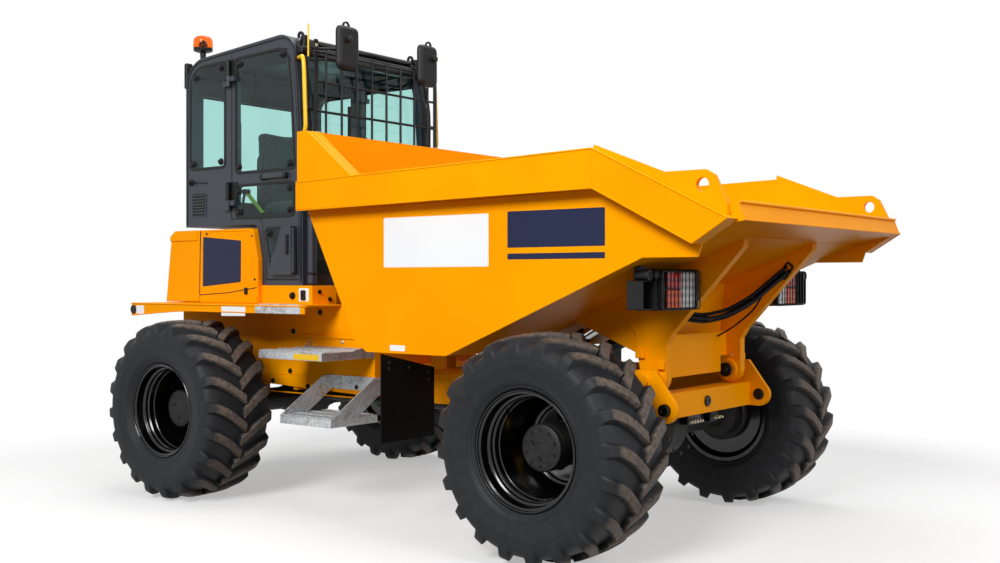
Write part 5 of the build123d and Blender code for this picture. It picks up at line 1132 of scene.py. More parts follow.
# %% Cab outline and roof
edge_path = bent([(0.621, y, z) for y, z in ((1.985, 1.780), (1.985, 2.909), (0.8895, 2.985),
    (0.845, 2.600), (0.815, 2.100), (0.815, 1.380))],
                 (0.190, 0.140, 0.03, 0.03), 8)
piece("cab_edge_lines", both([tube(edge_path, 0.0055, 8)]), "rear_frame", black_satin)
ROOF_BAR = (0.893, 2.958)
roof_bar = [tube(bent([(-0.585, 0.880, 2.90), (-0.565, *ROOF_BAR), (0.565, *ROOF_BAR),
                       (0.585, 0.880, 2.90)], 0.03), 0.020, 14)]
roof_front = [rounded_box((-0.52, 0.852, 2.868), (0.52, 0.880, 2.925), 0.010)]
piece("roof_bar", roof_bar + roof_front, "rear_frame", black_enamel)
eyes = [spun([(-0.006, 0.012), (0.006, 0.012), (0.006, 0.028), (-0.006, 0.028)], at(0.530, 0.915, 2.995),
             (1, 0, 0), 24, closed=True),
        rounded_box((0.518, 0.890, 2.962), (0.542, 0.940, 2.978), 0.004)]
piece("lifting_eyes", both(eyes), "rear_frame", black_satin)
piece("cab_marker", [rounded_box((0.535, 0.812, 2.895), (0.580, 0.862, 2.955), 0.010)], "rear_frame",
      amber_lens)
brackets = [rounded_box((0.520, 0.850, 2.900), (0.560, 0.885, 2.990), 0.006),
            rounded_box((0.560, 0.812, 2.860), (0.612, 0.862, 2.905), 0.010),
            rounded_box((0.470, 0.846, 2.890), (0.505, 0.880, 2.945), 0.008)]
piece("roof_brackets", both(brackets), "rear_frame", black_satin)

# %% Wires and hoses on the front posts
hoses = []
for x, y, radius, sway in ((0.600, 0.780, 0.012, 0.010), (0.575, 0.776, 0.009, -0.012),
                           (0.560, 0.782, 0.007, 0.008)):
    hoses.append(tube(bent([(x, y + 0.010, 1.860), (x + sway, y, 2.060), (x - sway, y + 0.006, 2.330),
                            (x + sway, y + 0.022, 2.620),
                            (x - 0.02, y + 0.058, 2.860), (x - 0.05, y + 0.085, 2.945)], 0.09, 5), radius,
                            8))
clips = [rounded_box((0.546, 0.764, z - 0.009), (0.614, 0.806 + lean, z + 0.009), 0.004) for z,
         lean in ((1.900, 0.0), (2.240, 0.006), (2.500, 0.02))]
piece("post_hoses", both(hoses + clips), "rear_frame", seal_rubber)
top_wires = [tube(bent([(-0.50, 0.842, 2.880), (-0.2, 0.838, 2.846 + dip), (0.15, 0.838, 2.848 + dip),
                        (0.50, 0.842, 2.882)], 0.12, 6), 0.006, 8)
             for dip in (0.0, 0.016)]
piece("roof_wires", top_wires, "rear_frame", seal_rubber)

# %% Handrails
rail = tube(bent([(0.597, 0.822, 2.330), (0.632, 0.775, 2.330), (0.637, 0.752, 2.375),
                  (0.637, 0.770, 2.790), (0.634, 0.786, 2.830),
                  (0.600, 0.862, 2.832)], (0.014, 0.020, 0.030, 0.014), 5), 0.0135, 14)
tip_rod = tube([(0.600, 0.768, 2.830), (0.600, 0.768, 2.94), (0.600, 0.768, 3.040)], 0.006, 8)
rails = piece("yellow_handrails", both([rail, tip_rod]), "rear_frame", yellow_enamel)
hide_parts("handrails")
feet = [knob(at(0.600, 0.824, 2.330), (0.3, -1, 0), 0.022, 0.008), knob(at(0.603, 0.860, 2.832),
    (0.2, -1, 0), 0.022, 0.008)]
piece("rail_feet", both(feet), "rear_frame", black_satin)

# %% [markdown]
# ## Mirrors, beacon and wipers
#
# A mirror's shell is moulded, deep at its middle and thin at its rounded rim. Its glass
# faces the driver, and a ball joint behind holds it on a bent arm. The beacon is an amber
# dome with moulded ribs that spread its light, on a black base and a flexible stalk.

# %% Mirrors
MIRROR = box("mirrors")
MIRROR_X, MIRROR_W = 0.390, 0.190
mirror_face = MIRROR[0][1] - 0.015
head = cornered(rectangle(MIRROR_X - MIRROR_W / 2, 2.752, MIRROR_X + MIRROR_W / 2, 3.042), 0.050, 6)
shell = raised(head, [(mirror_face, 0.004), (mirror_face - 0.002, 0.0), (mirror_face - 0.014, 0.001),
                      (mirror_face - 0.028, 0.008),
                      (mirror_face - 0.038, 0.020), (mirror_face - 0.043, 0.036)], "y")
ribs = [raised(inset(head, 0.022), [(mirror_face - 0.030, 0.0), (mirror_face - 0.0395, 0.0),
    (mirror_face - 0.0415, 0.002), (mirror_face - 0.0395, 0.005),
                                    (mirror_face - 0.030, 0.005)], "y", closed=True)]
joint = [spun([(0.0, 0.026), (0.006, 0.026), (0.008, 0.014), (0.016, 0.014), (0.020, 0.022), (0.030, 0.022),
               (0.036, 0.014), (0.038, 0.0)],
              at(MIRROR_X + 0.028, mirror_face - 0.040, 2.945), (0, -1, 0), 20),
         spun([(-0.006, 0.020), (0.006, 0.020), (0.006, 0.030), (-0.006, 0.030)],
              at(MIRROR_X + 0.012, mirror_face - 0.012, 3.040), (0, 1, 0), 24, closed=True)]
arm = tube(bent([(MIRROR_X + 0.02, mirror_face - 0.005, 2.900), (MIRROR_X + 0.02, mirror_face + 0.060,
    2.900), (MIRROR_X + 0.10, 0.820, 2.905),
                 (MIRROR_X + 0.11, 0.870, 2.930)], 0.025), 0.009, 12)
arm_lower = tube(bent([(MIRROR_X + 0.02, mirror_face - 0.005, 2.830), (MIRROR_X + 0.03, mirror_face + 0.060,
    2.830), (MIRROR_X + 0.185, 0.780, 2.815)], 0.03), 0.007, 10)
mirrors = piece("mirror_shells", both([shell, arm, arm_lower] + joint + ribs), "rear_frame", black_plastic)
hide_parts("mirrors")
piece("mirror_glass", both([slab(inset(head, 0.010), mirror_face, mirror_face + 0.002, "y", 0.0006)]),
      "rear_frame", mirror_glass)

# %% Beacon
BEACON_FOOT, BEACON_TOP = box("beacon")
beacon_at = np.append((BEACON_FOOT[:2] + BEACON_TOP[:2]) / 2 + (0, PIN_Y), BEACON_FOOT[2])
angle = np.linspace(0, np.pi / 2, 9)
dome_line = [(0.0, 0.068), (0.006, 0.070)] + [(0.044 + 0.042 * np.sin(t),
    0.068 * np.cos(t) ** 0.55) for t in angle[:-1]] + [(0.086, 0.0)]
dome = spun(np.array(dome_line) + (0.022, 0.0), beacon_at, (0, 0, 1), 72)
ribbed = dome[0] - beacon_at
spin = np.arctan2(ribbed[:, 1], ribbed[:, 0])
ribbed[:, :2] *= 1 + 0.012 * np.cos(18 * spin)[:, None] * (ribbed[:, 2] < 0.095)[:, None]
light = piece("beacon_dome", [(ribbed + beacon_at, dome[1])], "rear_frame", amber_dome,
              even=False)
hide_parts("beacon")
base = spun([(-0.010, 0.034), (-0.006, 0.052), (0.0, 0.066), (0.014, 0.069), (0.020, 0.066), (0.022, 0.058),
             (0.024, 0.0)], beacon_at, (0, 0, 1), 40)
core = spun([(0.024, 0.026), (0.050, 0.024), (0.070, 0.016), (0.074, 0.0)], beacon_at, (0, 0, 1), 24)
socket = spun([(-0.060, 0.016), (-0.056, 0.020), (-0.012, 0.022), (-0.002, 0.034)], beacon_at, (0, 0, 1),
              24)
stalk = tube(bent([(-0.450, 2.002, 2.740), (-0.450, 2.030, 2.740), (-0.450, 2.030, 2.990)], 0.02), 0.0095,
             14)
plate_foot = rounded_box((-0.485, 1.999, 2.705), (-0.415, 2.009, 2.800), 0.003)
stem = piece("beacon_base", [base, core, socket, stalk, plate_foot], "rear_frame", black_plastic)
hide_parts("beacon_stalk")

# %% Wipers
rear_wiper = [rounded_box((-0.330, 2.000, 2.715), (-0.210, 2.045, 2.790), 0.015),
              knob(at(-0.270, 2.030, 2.750), (0, 1, 0), 0.016, 0.024),
              tube([(-0.270, 2.046, 2.750), (-0.190, 2.030, 2.540), (-0.120, 2.020, 2.340)], 0.005, 8),
              rounded_box((-0.140, 2.006, 2.080), (-0.118, 2.024, 2.560), 0.004)]
corner_lamp = [rounded_box((-0.615, 2.000, 2.745), (-0.555, 2.036, 2.930), 0.014)]
front_wiper = [knob(at(0.050, 0.826, 1.960), (0, -1, 0), 0.020, 0.030),
               tube([(0.050, 0.798, 1.960), (-0.080, 0.800, 2.150), (-0.190, 0.806, 2.330)], 0.006, 8),
               rounded_box((-0.202, 0.800, 2.060), (-0.182, 0.818, 2.560), 0.004)]
piece("wipers", rear_wiper + corner_lamp + front_wiper, "rear_frame", black_plastic)


# %% [markdown]
# ## The windscreen's guard
#
# Round bars are welded into a grid that hangs on two flat uprights, which stand off the
# cab on short arms. It keeps spilled stones off the windscreen.

# %% Guard
GUARD = box("front_grille")
GUARD_FACE = 0.720
GUARD_ROWS = (2.310, 2.480, 2.670, 2.860)
uprights = [slab(rectangle(0.561, GUARD[0][2], 0.595, GUARD[1][2]), GUARD_FACE - 0.004, GUARD_FACE + 0.004,
                 "y", 0.0015, 0.008)]
stand_offs = [tube([(0.578, GUARD_FACE, z), (0.578, GUARD_FACE + 0.05, z), (0.578, depth, z)], 0.009,
                   12) for z, depth in
              ((GUARD_ROWS[0], 0.808), (GUARD_ROWS[-1], 0.864))]
rows = [tube([(-0.578, GUARD_FACE, z), (0.0, GUARD_FACE, z), (0.578, GUARD_FACE, z)], 0.0085,
             12) for z in GUARD_ROWS]
columns = [tube([(x, GUARD_FACE - 0.004, GUARD_ROWS[0] - 0.012), (x, GUARD_FACE - 0.004, 2.6),
                 (x, GUARD_FACE - 0.004, GUARD_ROWS[-1] + 0.012)], 0.0085, 12)
           for x in np.linspace(-0.495, 0.495, 8)]
guard = piece("windscreen_guard", both(uprights + stand_offs) + rows + columns, "rear_frame", black_satin)
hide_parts("front_grille")
guard_bolts = [bolt(at(0.578, GUARD_FACE - 0.004, z), (0, -1, 0), 0.018) for z in (2.340, 2.900)]
piece("guard_bolts", both(guard_bolts), "rear_frame", plated_screw)

# %% [markdown]
# ## Treads and steps
#
# Boots are muddy, so each tread is a zinc-coated channel whose top is pressed into rows of
# sawteeth. A row of teeth is one strip whose upper edge goes up and down at the tooth
# pitch of 20 mm. The lower step hangs between two cut plates with bright bent edges.

# %% Treads
TOOTH = 0.020


def toothed(start, end, top, foot, height=0.007):
    """Outline of a strip whose top edge is a row of rounded teeth: z = top + height |sin(pi n / 4)| at
    step n, with four steps to a tooth."""
    count = int(round(abs(end - start) / TOOTH)) * 4
    along = np.linspace(start, end, count + 1)
    wave = top + height * np.abs(np.sin(np.arange(count + 1) * np.pi / 4))
    return np.concatenate([np.stack([along, wave], 1), [[end, foot], [start, foot]]])


def tread(x0, x1, y0, y1, top, drop, rows=4):
    """A channel: a thin top, edges folded down at its front, back and outside, and rows of teeth on it."""
    parts = [rounded_box((x0, y0, top - 0.005), (x1, y1, top), 0.002),
             raised(toothed(y0, y1, top - 0.002, top - drop), [(x1 - 0.004, 0.0), (x1, 0.0)], "x"),
             rounded_box((x0, y0, top - drop), (x1, y0 + 0.004, top), 0.0018),
             rounded_box((x0, y1 - 0.004, top - drop), (x1, y1, top), 0.0018)]
    for x in np.linspace(x0 + 0.035, x1 - 0.035, rows):
        parts.append(raised(toothed(y0 + 0.012, y1 - 0.012, top, top - 0.004, 0.009),
                            [(x - 0.009, 0.0), (x - 0.007, 0.0)], "x"))
        parts.append(raised(toothed(y0 + 0.022, y1 - 0.002, top, top - 0.004, 0.009),
                            [(x + 0.007, 0.0), (x + 0.009, 0.0)], "x"))
    return parts


STEP_X = box("steps")[1][0]
CHASSIS_X = box("rear_chassis")[1][0]
upper = tread(CHASSIS_X, STEP_X, 0.275, 0.840, 0.960, 0.048)
upper += [slab([(CHASSIS_X, 0.955), (0.720, 0.955), (0.600, 0.978), (CHASSIS_X, 1.018)], 0.275, 0.279, "y",
               0.001),
          slab([(CHASSIS_X, 0.955), (0.600, 0.955), (CHASSIS_X, 1.022)], 0.836, 0.840, "y", 0.001)]
lower = tread(0.560, STEP_X, 0.195, 0.640, 0.570, 0.048)
for y in (0.195, 0.636):
    hanger = [(STEP_X, 0.566), (0.590, 0.790), (CHASSIS_X, 0.790), (CHASSIS_X, 0.715), (0.730, 0.566)]
    lower += [slab(hanger, y, y + 0.005, "y", 0.001, (0.012, 0.02, 0.0, 0.0, 0.03)),
              tube(bent([(STEP_X - 0.002, y + 0.0025, 0.568), (0.590, y + 0.0025, 0.789),
                         (CHASSIS_X, y + 0.0025, 0.789)], 0.02), 0.005, 8)]
lower += [rounded_box((CHASSIS_X, 0.200, 0.700), (CHASSIS_X + 0.004, 0.636, 0.788), 0.0015)]
steps_made = piece("galvanised_steps", both(upper + lower), "rear_frame", galvanised)
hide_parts("steps")
edge_strips = [raised(toothed(0.450, 0.860, DECK_Z - 0.004, DECK_Z - 0.050),
                      [(DECK_X - 0.001, 0.0), (DECK_X + 0.002, 0.0)], "x"),
               slab([(0.872, 0.600), (DECK_X, 0.450), (DECK_X, 0.860), (0.872, 0.860)], DECK_Z - 0.001,
                    DECK_Z + 0.002, "z", 0.0008)]
edge_strips += [raised(toothed(start, 0.850, DECK_Z + 0.001, DECK_Z, 0.008), [(x, 0.0), (x + 0.002, 0.0)],
                       "x")
                for x, start in ((0.885, 0.590), (0.905, 0.550), (0.925, 0.520), (0.942, 0.480))]
piece("deck_treads", both(edge_strips), "rear_frame", galvanised)
step_paint = [rounded_box((STEP_X, 0.300, 0.915), (STEP_X + 0.0015, 0.520, 0.950), 0.0007)]
piece("step_edge_paint", both(step_paint), "rear_frame", yellow_enamel)
step_bolts = [bolt(at(CHASSIS_X + 0.004, y, z), (1, 0, 0), 0.024) for y in (0.260, 0.575) for z in (0.730,
    0.765)]
step_bolts += [bolt(at(CHASSIS_X + 0.001, y, 1.000), (1, 0, 0), 0.022) for y in (0.330, 0.560)]
piece("step_bolts", both(step_bolts), "rear_frame", plated_screw)

# %% [markdown]
# ## Deck, base and chassis fittings
#
# Under the deck's edge a skirt is pressed from the same sheet, with a bead along its top
# and another along its foot. Round reflectors close its rear end. The battery isolator and its
# switch sit on the box before the cab, and black bolts hold the chassis plates.

# %% Deck and base fittings
skirt = [tube(bent([(DECK_X + 0.001, 0.400, DECK_Z - 0.004), (DECK_X + 0.001, 1.200, DECK_Z - 0.004),
                    (DECK_X + 0.001, 2.150, DECK_Z - 0.004)], 0.02), 0.005, 8),
         tube(bent([(DECK_X + 0.001, 0.870, 1.192), (DECK_X + 0.001, 1.612, 1.192),
                    (DECK_X + 0.001, 2.150, 1.154)], 0.12), 0.004, 8)]
piece("deck_beads", both(skirt), "rear_frame", orange_enamel)
reflectors = [spun([(0.0, 0.0), (0.0, 0.030), (0.006, 0.030), (0.009, 0.026), (0.009, 0.021),
                    (0.007, 0.019), (0.007, 0.0)], at(DECK_X, 2.128, 1.194), (1, 0, 0), 28)]
switches = [spun([(0, 0.024), (0.004, 0.024), (0.006, 0.015), (0.020, 0.015), (0.022, 0.010), (0.022, 0.0)],
                 at(CAB_X, 0.892, 1.294), (1, 0, 0), 24),
            rounded_box((CAB_X, 0.880, 1.276), (CAB_X + 0.030, 0.890, 1.312), 0.004),
            rounded_box((CAB_X + 0.001, 0.768, 1.266), (CAB_X + 0.016, 0.808, 1.330), 0.006),
            rounded_box((CAB_X + 0.010, 0.780, 1.288), (CAB_X + 0.026, 0.796, 1.316), 0.004)]
front_bolts = [knob(at(x, 0.710, z), (0, -1, 0), 0.014, 0.010) for x, z in ((0.560, 1.320), (0.470, 1.272))]
post_caps = [spun([(0.0, 0.034), (0.012, 0.036), (0.016, 0.031)], at(0.577, 0.760, z), (0, 0, 1),
                  28) for z in (1.360, 1.430, 1.800)]
piece("base_switches", both(reflectors + switches + front_bolts + post_caps), "rear_frame", black_plastic)
CHASSIS_BOLTS = ((1.020, 1.057), (1.050, 0.792), (0.360, 0.937), (0.766, 1.186), (0.430, 0.720),
                 (0.880, 0.700), (1.220, 0.720))
bolts = [bolt(at(CHASSIS_X, y, z), (1, 0, 0), 0.030) for y, z in CHASSIS_BOLTS]
piece("chassis_bolts", both(bolts), "rear_frame", black_satin)
seams = [tube([(CHASSIS_X + 0.001, 1.230, 0.765), (CHASSIS_X + 0.001, 0.80, 0.780),
               (CHASSIS_X + 0.001, 0.405, 0.793)], 0.003, 8),
         tube([(CHASSIS_X + 0.001, 0.300, 0.652), (CHASSIS_X + 0.001, 0.90, 0.650),
               (CHASSIS_X + 0.001, 1.50, 0.650)], 0.005, 8),
         rounded_box((CHASSIS_X, 0.425, 1.020), (CHASSIS_X + 0.012, 0.900, 1.040), 0.004)]
piece("chassis_seams", both(seams), "rear_frame", orange_enamel)

# %% [markdown]
# ## Hood
#
# The engine's covers are pressed sheet over the isolator base. A rolled edge runs round the side
# cover, a dark rubber line along its rear and lower seam is painted shade for the gap, and small catches
# hold it.

# %% Hood edges and catches
hood_edges = [tube(bent([(HOOD_X + 0.001, 1.212, 1.345), (HOOD_X + 0.001, 1.205, 1.525),
                         (HOOD_X + 0.001, 1.252, 1.726), (HOOD_X + 0.001, 1.790, 1.731)],
                        (0.02, 0.04)), 0.004, 8),
              rounded_box((HOOD_X, 1.205, 1.241), (HOOD_X + 0.010, 1.795, 1.286), 0.004),
              rounded_box((HOOD_X, 1.806, 1.246), (HOOD_X + 0.010, 2.170, 1.286), 0.004)]
piece("hood_edges", both(hood_edges), "rear_frame", orange_enamel)
# Painted shade: a dark rubber line along the cover's rear and lower seam stands for the shadow in the gap
# between the panels.
seam_line = [(1.800, 1.735), (1.806, 1.500), (1.812, 1.292), (1.500, 1.310), (1.208, 1.346)]
hood_gap_shade = [tube(bent([(HOOD_X + 0.0005, y, z) for y, z in seam_line], 0.012), 0.0032, 6)]
piece("hood_gap_shades", both(hood_gap_shade), "rear_frame", seal_rubber)
catches = [rounded_box((HOOD_X, 1.300, 1.300), (HOOD_X + 0.012, 1.330, 1.345), 0.005),
           knob(at(HOOD_X, 1.255, 1.690), (1, 0, 0), 0.008, 0.006),
           knob(at(HOOD_X, 1.730, 1.712), (1, 0, 0), 0.008, 0.006), knob(at(HOOD_X, 1.230, 1.400),
               (1, 0, 0), 0.008, 0.006)]
piece("hood_catches", both(catches), "rear_frame", black_satin)

# %% [markdown]
# ## Under the nose
#
# Behind the front beam the axle's cover bolts, brake pipes and valve blocks show as dark
# shapes with a few plated fittings. Tail lamps hang under the deck's rear edge.

# %% Axle fittings and tail lamps
AXLE_FRONT_Y = box("front_axle")[0][1]
cover_bolts = [bolt(at(x, AXLE_FRONT_Y, AXLE_Z + z), (0, -1, 0), 0.020) for x, z in around(10, 0.140)]
pipe_runs = [tube(bent([(0.16, AXLE_FRONT_Y + 0.02, 0.66), (0.16, AXLE_FRONT_Y - 0.03, 0.69),
                        (0.34, AXLE_FRONT_Y - 0.01, 0.70), (0.62, -1.44, 0.68), (0.76, -1.43, 0.60)], 0.04),
                        0.006, 8),
             tube(bent([(-0.16, AXLE_FRONT_Y + 0.02, 0.66), (-0.16, AXLE_FRONT_Y - 0.03, 0.68),
                        (-0.34, AXLE_FRONT_Y - 0.01, 0.69), (-0.62, -1.44, 0.68), (-0.76, -1.43, 0.60)],
                        0.04), 0.006, 8)]
valve_block = [rounded_box((-0.10, -1.700, 0.600), (0.05, -1.640, 0.662), 0.008),
               rounded_box((0.18, -1.690, 0.590), (0.27, -1.640, 0.655), 0.008)]
piece("axle_pipes", pipe_runs + valve_block + cover_bolts, "front_frame", black_satin)
fittings = [spun([(0, 0.010), (0.020, 0.010), (0.020, 0.0075), (0.034, 0.0075)], at(x, -1.702, 0.622),
                 (0, -1, 0), 6) for x in (-0.085, -0.055, -0.025, 0.005, 0.20, 0.24)]
piece("pipe_fittings", fittings, "front_frame", plated_screw)
TAIL = box("tail_lamps")
for name, finish, slot, x0, x1 in (("tail_stop_lenses", red_lens, "red_lens", 0.768, 0.850),
    ("tail_turn_lenses", amber_lens, "amber_lens", 0.854, 0.932)):
    piece(name, both([slab(rectangle(x0, TAIL[0][2] + 0.008, x1, TAIL[1][2] - 0.006), TAIL[1][1] - 0.006,
                           TAIL[1][1] + 0.004, "y", 0.003, 0.006)]),
          "rear_frame", finish)
tail_box = [slab(rectangle(0.760, TAIL[0][2], 0.940, TAIL[1][2]), TAIL[0][1], TAIL[1][1] - 0.004, "y",
                 0.004, 0.008)]
tail_made = piece("tail_lamp_boxes", both(tail_box), "rear_frame", black_plastic)
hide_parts("tail_lamps")


# %% [markdown]
# ## The driver's seat
#
# The seat and its back are foam under woven cloth. Each pad starts as a rounded slab that
# is a little small, and a cloth simulation with pressure inside swells it, while a cap
# keeps every point within 10 mm of where it began. The seams are sewn channels: they are
# pressed in afterwards, because a remesh would remove them.

# %% Cushions
SEAT_LOW, SEAT_HIGH = box("seat")


def swollen(name, low, high, radius, channels, limit=0.010):
    """A cushion: a rounded slab blown up as cloth. A channel at distance d is pressed in by 9 mm times
    exp(-(d / 6 mm)^2)."""
    points, faces = joined([rounded_box(low, high, radius, 6)])
    made = bpy.data.meshes.new(name)
    made.from_pydata(points.tolist(), [], faces)
    pad = bpy.data.objects.new(name, made)
    bpy.context.scene.collection.objects.link(pad)
    remesh = pad.modifiers.new("even", "REMESH")
    remesh.mode, remesh.voxel_size = "VOXEL", 0.008
    bake(pad)
    start = coordinates(pad)
    cloth = pad.modifiers.new("pressure", "CLOTH").settings
    cloth.use_pressure, cloth.uniform_pressure_force, cloth.effector_weights.gravity = True, 4.0, 0.0
    cloth.quality = 5
    for frame in range(1, 13):
        bpy.context.scene.frame_set(frame)
    bake(pad)
    bpy.context.scene.frame_set(1)
    end = coordinates(pad)
    shift = end - start
    far = np.maximum(np.linalg.norm(shift, axis=1, keepdims=True), 1e-9)
    end = start + shift * np.minimum(1.0, limit / far)
    normal = np.sign(end - (np.array(low) + np.array(high) + (0, 2 * PIN_Y, 0)) / 2)
    for axis, place, face in channels:
        depth = 0.009 * np.exp(-((end[:, axis] - place - (PIN_Y if axis == 1 else 0)) / 0.006) ** 2)
        end[:, face] -= depth * normal[:, face]
    end = np.clip(end, SEAT_ROOM[0], SEAT_ROOM[1])
    pad.data.vertices.foreach_set("co", end.ravel())
    pad.data.polygons.foreach_set("use_smooth", np.ones(len(pad.data.polygons), bool))
    pad.data.materials.append(seat_cloth)
    smooth = pad.modifiers.new("smooth", "SUBSURF")
    smooth.levels = smooth.render_levels = 1
    return pad


def coordinates(thing):
    """Its vertices as an array of n rows and 3 columns."""
    values = np.empty(len(thing.data.vertices) * 3)
    thing.data.vertices.foreach_get("co", values)
    return values.reshape(-1, 3)


def bake(thing):
    """Turns the result of its modifiers into its mesh."""
    result = bpy.data.meshes.new_from_object(thing.evaluated_get(bpy.context.evaluated_depsgraph_get()))
    thing.modifiers.clear()
    old, thing.data = thing.data, result
    bpy.data.meshes.remove(old)


SEAT_ROOM = (SEAT_LOW + (-0.004, PIN_Y - 0.004, -0.002), SEAT_HIGH + (0.004, PIN_Y + 0.004, 0.006))
cushion = swollen("seat_cushion", (-0.225, 1.245, 1.862), (0.225, 1.655, 1.946), 0.036,
                  ((0, -0.130, 2), (0, 0.130, 2), (1, 1.340, 2)))
backrest = swollen("seat_backrest", (-0.205, 1.662, 1.930), (0.205, 1.748, 2.456), 0.038,
                   ((0, -0.130, 1), (0, 0.130, 1), (2, 2.100, 1), (2, 2.300, 1)))
for pad, fill in ((cushion, 0.7), (backrest, 0.7)):
    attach(pad, "rear_frame")
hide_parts("seat")
print("cushions:", [len(pad.data.polygons) for pad in (cushion, backrest)], "faces")

# %% Seat frame, belt and wheel
SEAT_FOOT = SEAT_LOW[2]
frame = [rounded_box((-0.200, 1.260, SEAT_FOOT), (0.200, 1.640, 1.850), 0.012),
         slab(rectangle(-0.185, 1.900, 0.185, 2.300), 1.748, 1.758, "y", 0.004, 0.05)]
frame += [tube(bent([(x, 1.640, 1.860), (x, 1.735, 1.870), (x, 1.752, 1.960)], 0.04), 0.011,
               10) for x in (-0.175, 0.175)]
piece("seat_frame", frame, "rear_frame", black_plastic)
belt = [raised(np.array([(1.565, 1.862), (1.570, 1.857), (1.756, 2.020), (1.751, 2.025)]),
               [(-0.300, 0.0), (-0.262, 0.0)], "x")]
piece("seat_belt", belt, "rear_frame", belt_web)
belt_anchor = [rounded_box((-0.305, 1.735, 2.005), (-0.257, 1.775, 2.045), 0.006),
               rounded_box((-0.305, 1.545, 1.825), (-0.257, 1.580, 1.870), 0.006),
               tube(bent([(-0.281, 1.765, 2.020), (-0.281, 1.790, 1.980), (-0.281, 1.790, 1.815)], 0.03),
                    0.010, 8)]
piece("belt_anchors", belt_anchor, "rear_frame", black_plastic)
HUB, WHEEL_R = np.array([0.0, 1.040, 2.290]), 0.178
tilt = np.array([0.0, 0.5, 1.0]) / np.sqrt(1.25)
along = np.array([0.0, 1.0, -0.5]) / np.sqrt(1.25)
ring = np.stack([0.0115 * np.cos(np.linspace(0, 2 * np.pi, 13)[:-1]),
                 WHEEL_R + 0.0115 * np.sin(np.linspace(0, 2 * np.pi, 13)[:-1])], 1)
wheel = [spun([tuple(row) for row in ring], at(*HUB), tuple(tilt), 48, closed=True),
         spun([(-0.030, 0.024), (-0.010, 0.045), (0.004, 0.045), (0.010, 0.036), (0.012, 0.0)], at(*HUB),
              tuple(tilt), 28)]
for turn in (np.pi / 2, np.pi * 7 / 6, np.pi * 11 / 6):
    reach = np.cos(turn) * np.array([1.0, 0, 0]) + np.sin(turn) * along
    wheel.append(tube([tuple(HUB + reach * 0.030), tuple(HUB + reach * 0.100 - tilt * 0.004),
                       tuple(HUB + reach * WHEEL_R)], 0.009, 10))
column = tube([(0.0, 0.905, 2.140), (0.0, 0.970, 2.212), (0.0, 1.032, 2.276)], 0.024, 16)
dash = slab(rectangle(-0.120, 1.402, 0.120, 2.150), 0.850, 0.955, "y", 0.020, 0.03)
levers = [tube(bent([(x, 0.940, 2.080), (x, 1.000, 2.120), (x, 1.010, 2.220)], 0.02), 0.006,
               8) for x in (-0.085, 0.085)]
levers += [knob(at(x, 1.010, 2.210), (0, 0.1, 1), 0.014, 0.030) for x in (-0.085, 0.085)]
inner = piece("steering_wheel", wheel + [column, dash] + levers, "rear_frame", black_plastic)
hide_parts("console")
gauges = [spun([(0.0, 0.045), (0.006, 0.045), (0.008, 0.041), (0.003, 0.038), (0.003, 0.0)],
               at(0.0, 0.955, 2.100), (0, 1, 0.2), 28)]
piece("dash_gauge", gauges, "rear_frame", black_enamel)
inner_mirror = [slab(cornered(rectangle(-0.375, 2.625, -0.225, 2.690), 0.012), 1.600, 1.615, "y", 0.004),
                tube(bent([(-0.300, 1.610, 2.665), (-0.300, 1.640, 2.740), (-0.300, 1.640, 2.860)], 0.02),
                     0.006, 8)]
piece("inner_mirror", inner_mirror, "rear_frame", black_plastic)


# %% [markdown]
# ## Light, floor and camera
#
# The machine stands in a plain white studio. A big soft lamp above and beside the camera
# lights the side that faces it, a weaker one fills the front, and the world adds an even
# light all round. What the camera sees of the background is white, and so is what shines
# in paint and glass. The floor close to the machine is a matt surface that takes its
# shadow, and it fades to the white of the background further out.

# %% World and floor
def seen_directly(tree):
    """One for rays from the camera, from a reflection or through glass, and zero for the rest."""
    ray = add(tree, "ShaderNodeLightPath")
    either = add(tree, "ShaderNodeMath", {0: ray.outputs["Is Camera Ray"], 1: ray.outputs["Is Glossy Ray"]},
                 operation="MAXIMUM")
    return add(tree, "ShaderNodeMath", {0: either.outputs[0], 1: ray.outputs["Is Transmission Ray"]},
               operation="MAXIMUM").outputs[0]


def studio_world():
    """White to the camera, to reflections and through glass; a dimmer even light elsewhere."""
    world = bpy.data.worlds.new("studio")
    world.use_nodes = True
    tree = world.node_tree
    back = tree.nodes["Background"]
    back.inputs["Color"].default_value = linear("#FFFFFF")
    tree.links.new(spread(tree, seen_directly(tree), WORLD_LIGHT, 1.0), back.inputs["Strength"])
    bpy.context.scene.world = world


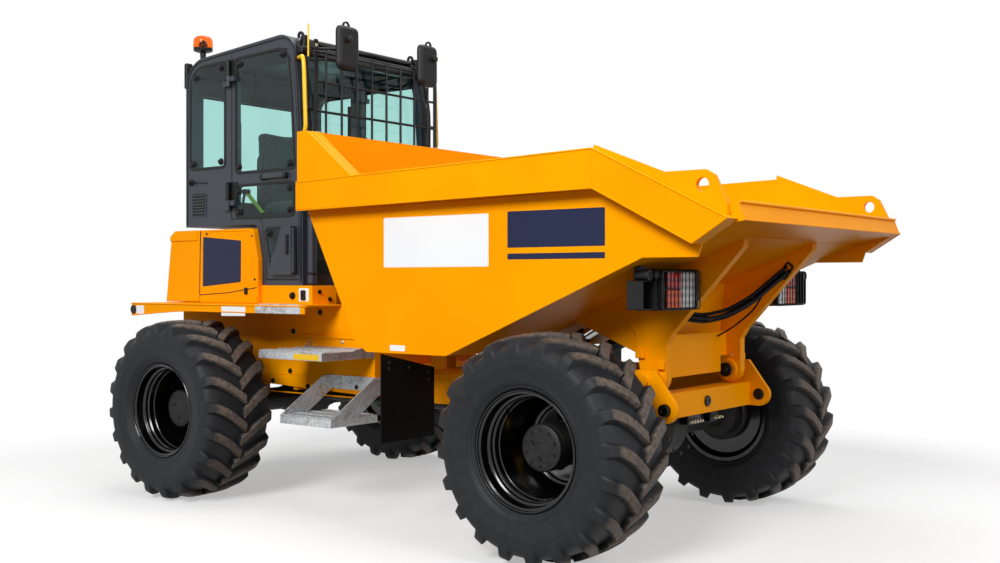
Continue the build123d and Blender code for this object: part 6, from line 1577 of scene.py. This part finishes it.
def studio_floor():
    """A matt floor far wider than the machine. Where it is seen, it fades to white with distance."""
    made, tree, shader, place = material("pale matt studio floor")
    cloud = add(tree, "ShaderNodeTexNoise", {"Vector": place, "Scale": 0.8, "Detail": 2.0})
    grey = ramp(tree, cloud.outputs["Fac"], 0.3, 0.7, linear("#F2F2F2"), linear("#F5F5F5"))
    seen = seen_directly(tree)
    tree.links.new(mix(tree, seen, linear(FLOOR_BOUNCE), grey), shader.inputs["Base Color"])
    shader.inputs["Roughness"].default_value = 0.9
    shader.inputs["Specular IOR Level"].default_value = 0.0
    flat = add(tree, "ShaderNodeVectorMath", {0: place}, operation="LENGTH").outputs["Value"]
    far = add(tree, "ShaderNodeMapRange", {"Value": flat, "From Min": 2.6, "From Max": 5.2},
              interpolation_type="SMOOTHSTEP")
    share = add(tree, "ShaderNodeMath", {0: far.outputs[0], 1: seen}, operation="MULTIPLY").outputs[0]
    lift = add(tree, "ShaderNodeMapRange", {"Value": share, "To Min": 0.0, "To Max": 1.0}, clamp=True)
    soft = add(tree, "ShaderNodeMath", {0: seen, 1: SHADOW_LIFT}, operation="MULTIPLY")
    most = add(tree, "ShaderNodeMath", {0: lift.outputs[0], 1: soft.outputs[0]}, operation="MAXIMUM")
    white = add(tree, "ShaderNodeEmission", {"Color": linear("#FFFFFF"), "Strength": 1.0})
    blend = add(tree, "ShaderNodeMixShader", {0: most.outputs[0], 1: shader.outputs[0],
        2: white.outputs[0]})
    tree.links.new(blend.outputs[0], tree.nodes["Material Output"].inputs["Surface"])
    mesh = bpy.data.meshes.new("floor")
    edge, low = 60, -0.0005
    mesh.from_pydata([(-edge, -edge, low), (edge, -edge, low), (edge, edge, low), (-edge, edge, low)], [],
                     [(0, 1, 2, 3)])
    floor = bpy.data.objects.new("floor", mesh)
    bpy.context.scene.collection.objects.link(floor)
    mesh.materials.append(made)


WORLD_LIGHT = 0.26
FLOOR_BOUNCE = "#6E6E6E"      # what the floor gives back to the machine's underside
SHADOW_LIFT = 0.42            # the least share of white in the floor's shadow
studio_world()
studio_floor()


# %% Lamps and camera
def lamp(name, place, target, size, power):
    """A square soft lamp that points at a target."""
    light = bpy.data.lights.new(name, "AREA")
    light.shape = "SQUARE"
    light.size = size
    light.energy = power
    made = bpy.data.objects.new(name, light)
    bpy.context.scene.collection.objects.link(made)
    way = Vector(target) - Vector(place)
    made.matrix_world = Matrix.Translation(place) @ way.to_track_quat("-Z", "Y").to_matrix().to_4x4()


lamp("key", (-12.0, -3.0, 8.0), (0, 0, 1.0), 5.0, 1750)
lamp("front", (-1.5, -9.0, 5.0), (0, 0, 1.2), 4.0, 300)
lamp("top", (1.0, 1.0, 9.0), (0, 0, 0), 6.0, 400)

camera_data = bpy.data.cameras.new("camera")
camera_data.lens = 41.6
camera_data.sensor_width = 36.0
camera = bpy.data.objects.new("camera", camera_data)
bpy.context.scene.collection.objects.link(camera)
camera.location = (-5.702, -4.611, 1.395)
camera.rotation_euler = (np.radians(89.93), 0.0, np.radians(-52.157))
bpy.context.scene.camera = camera
bpy.context.scene.view_settings.view_transform = "Standard"
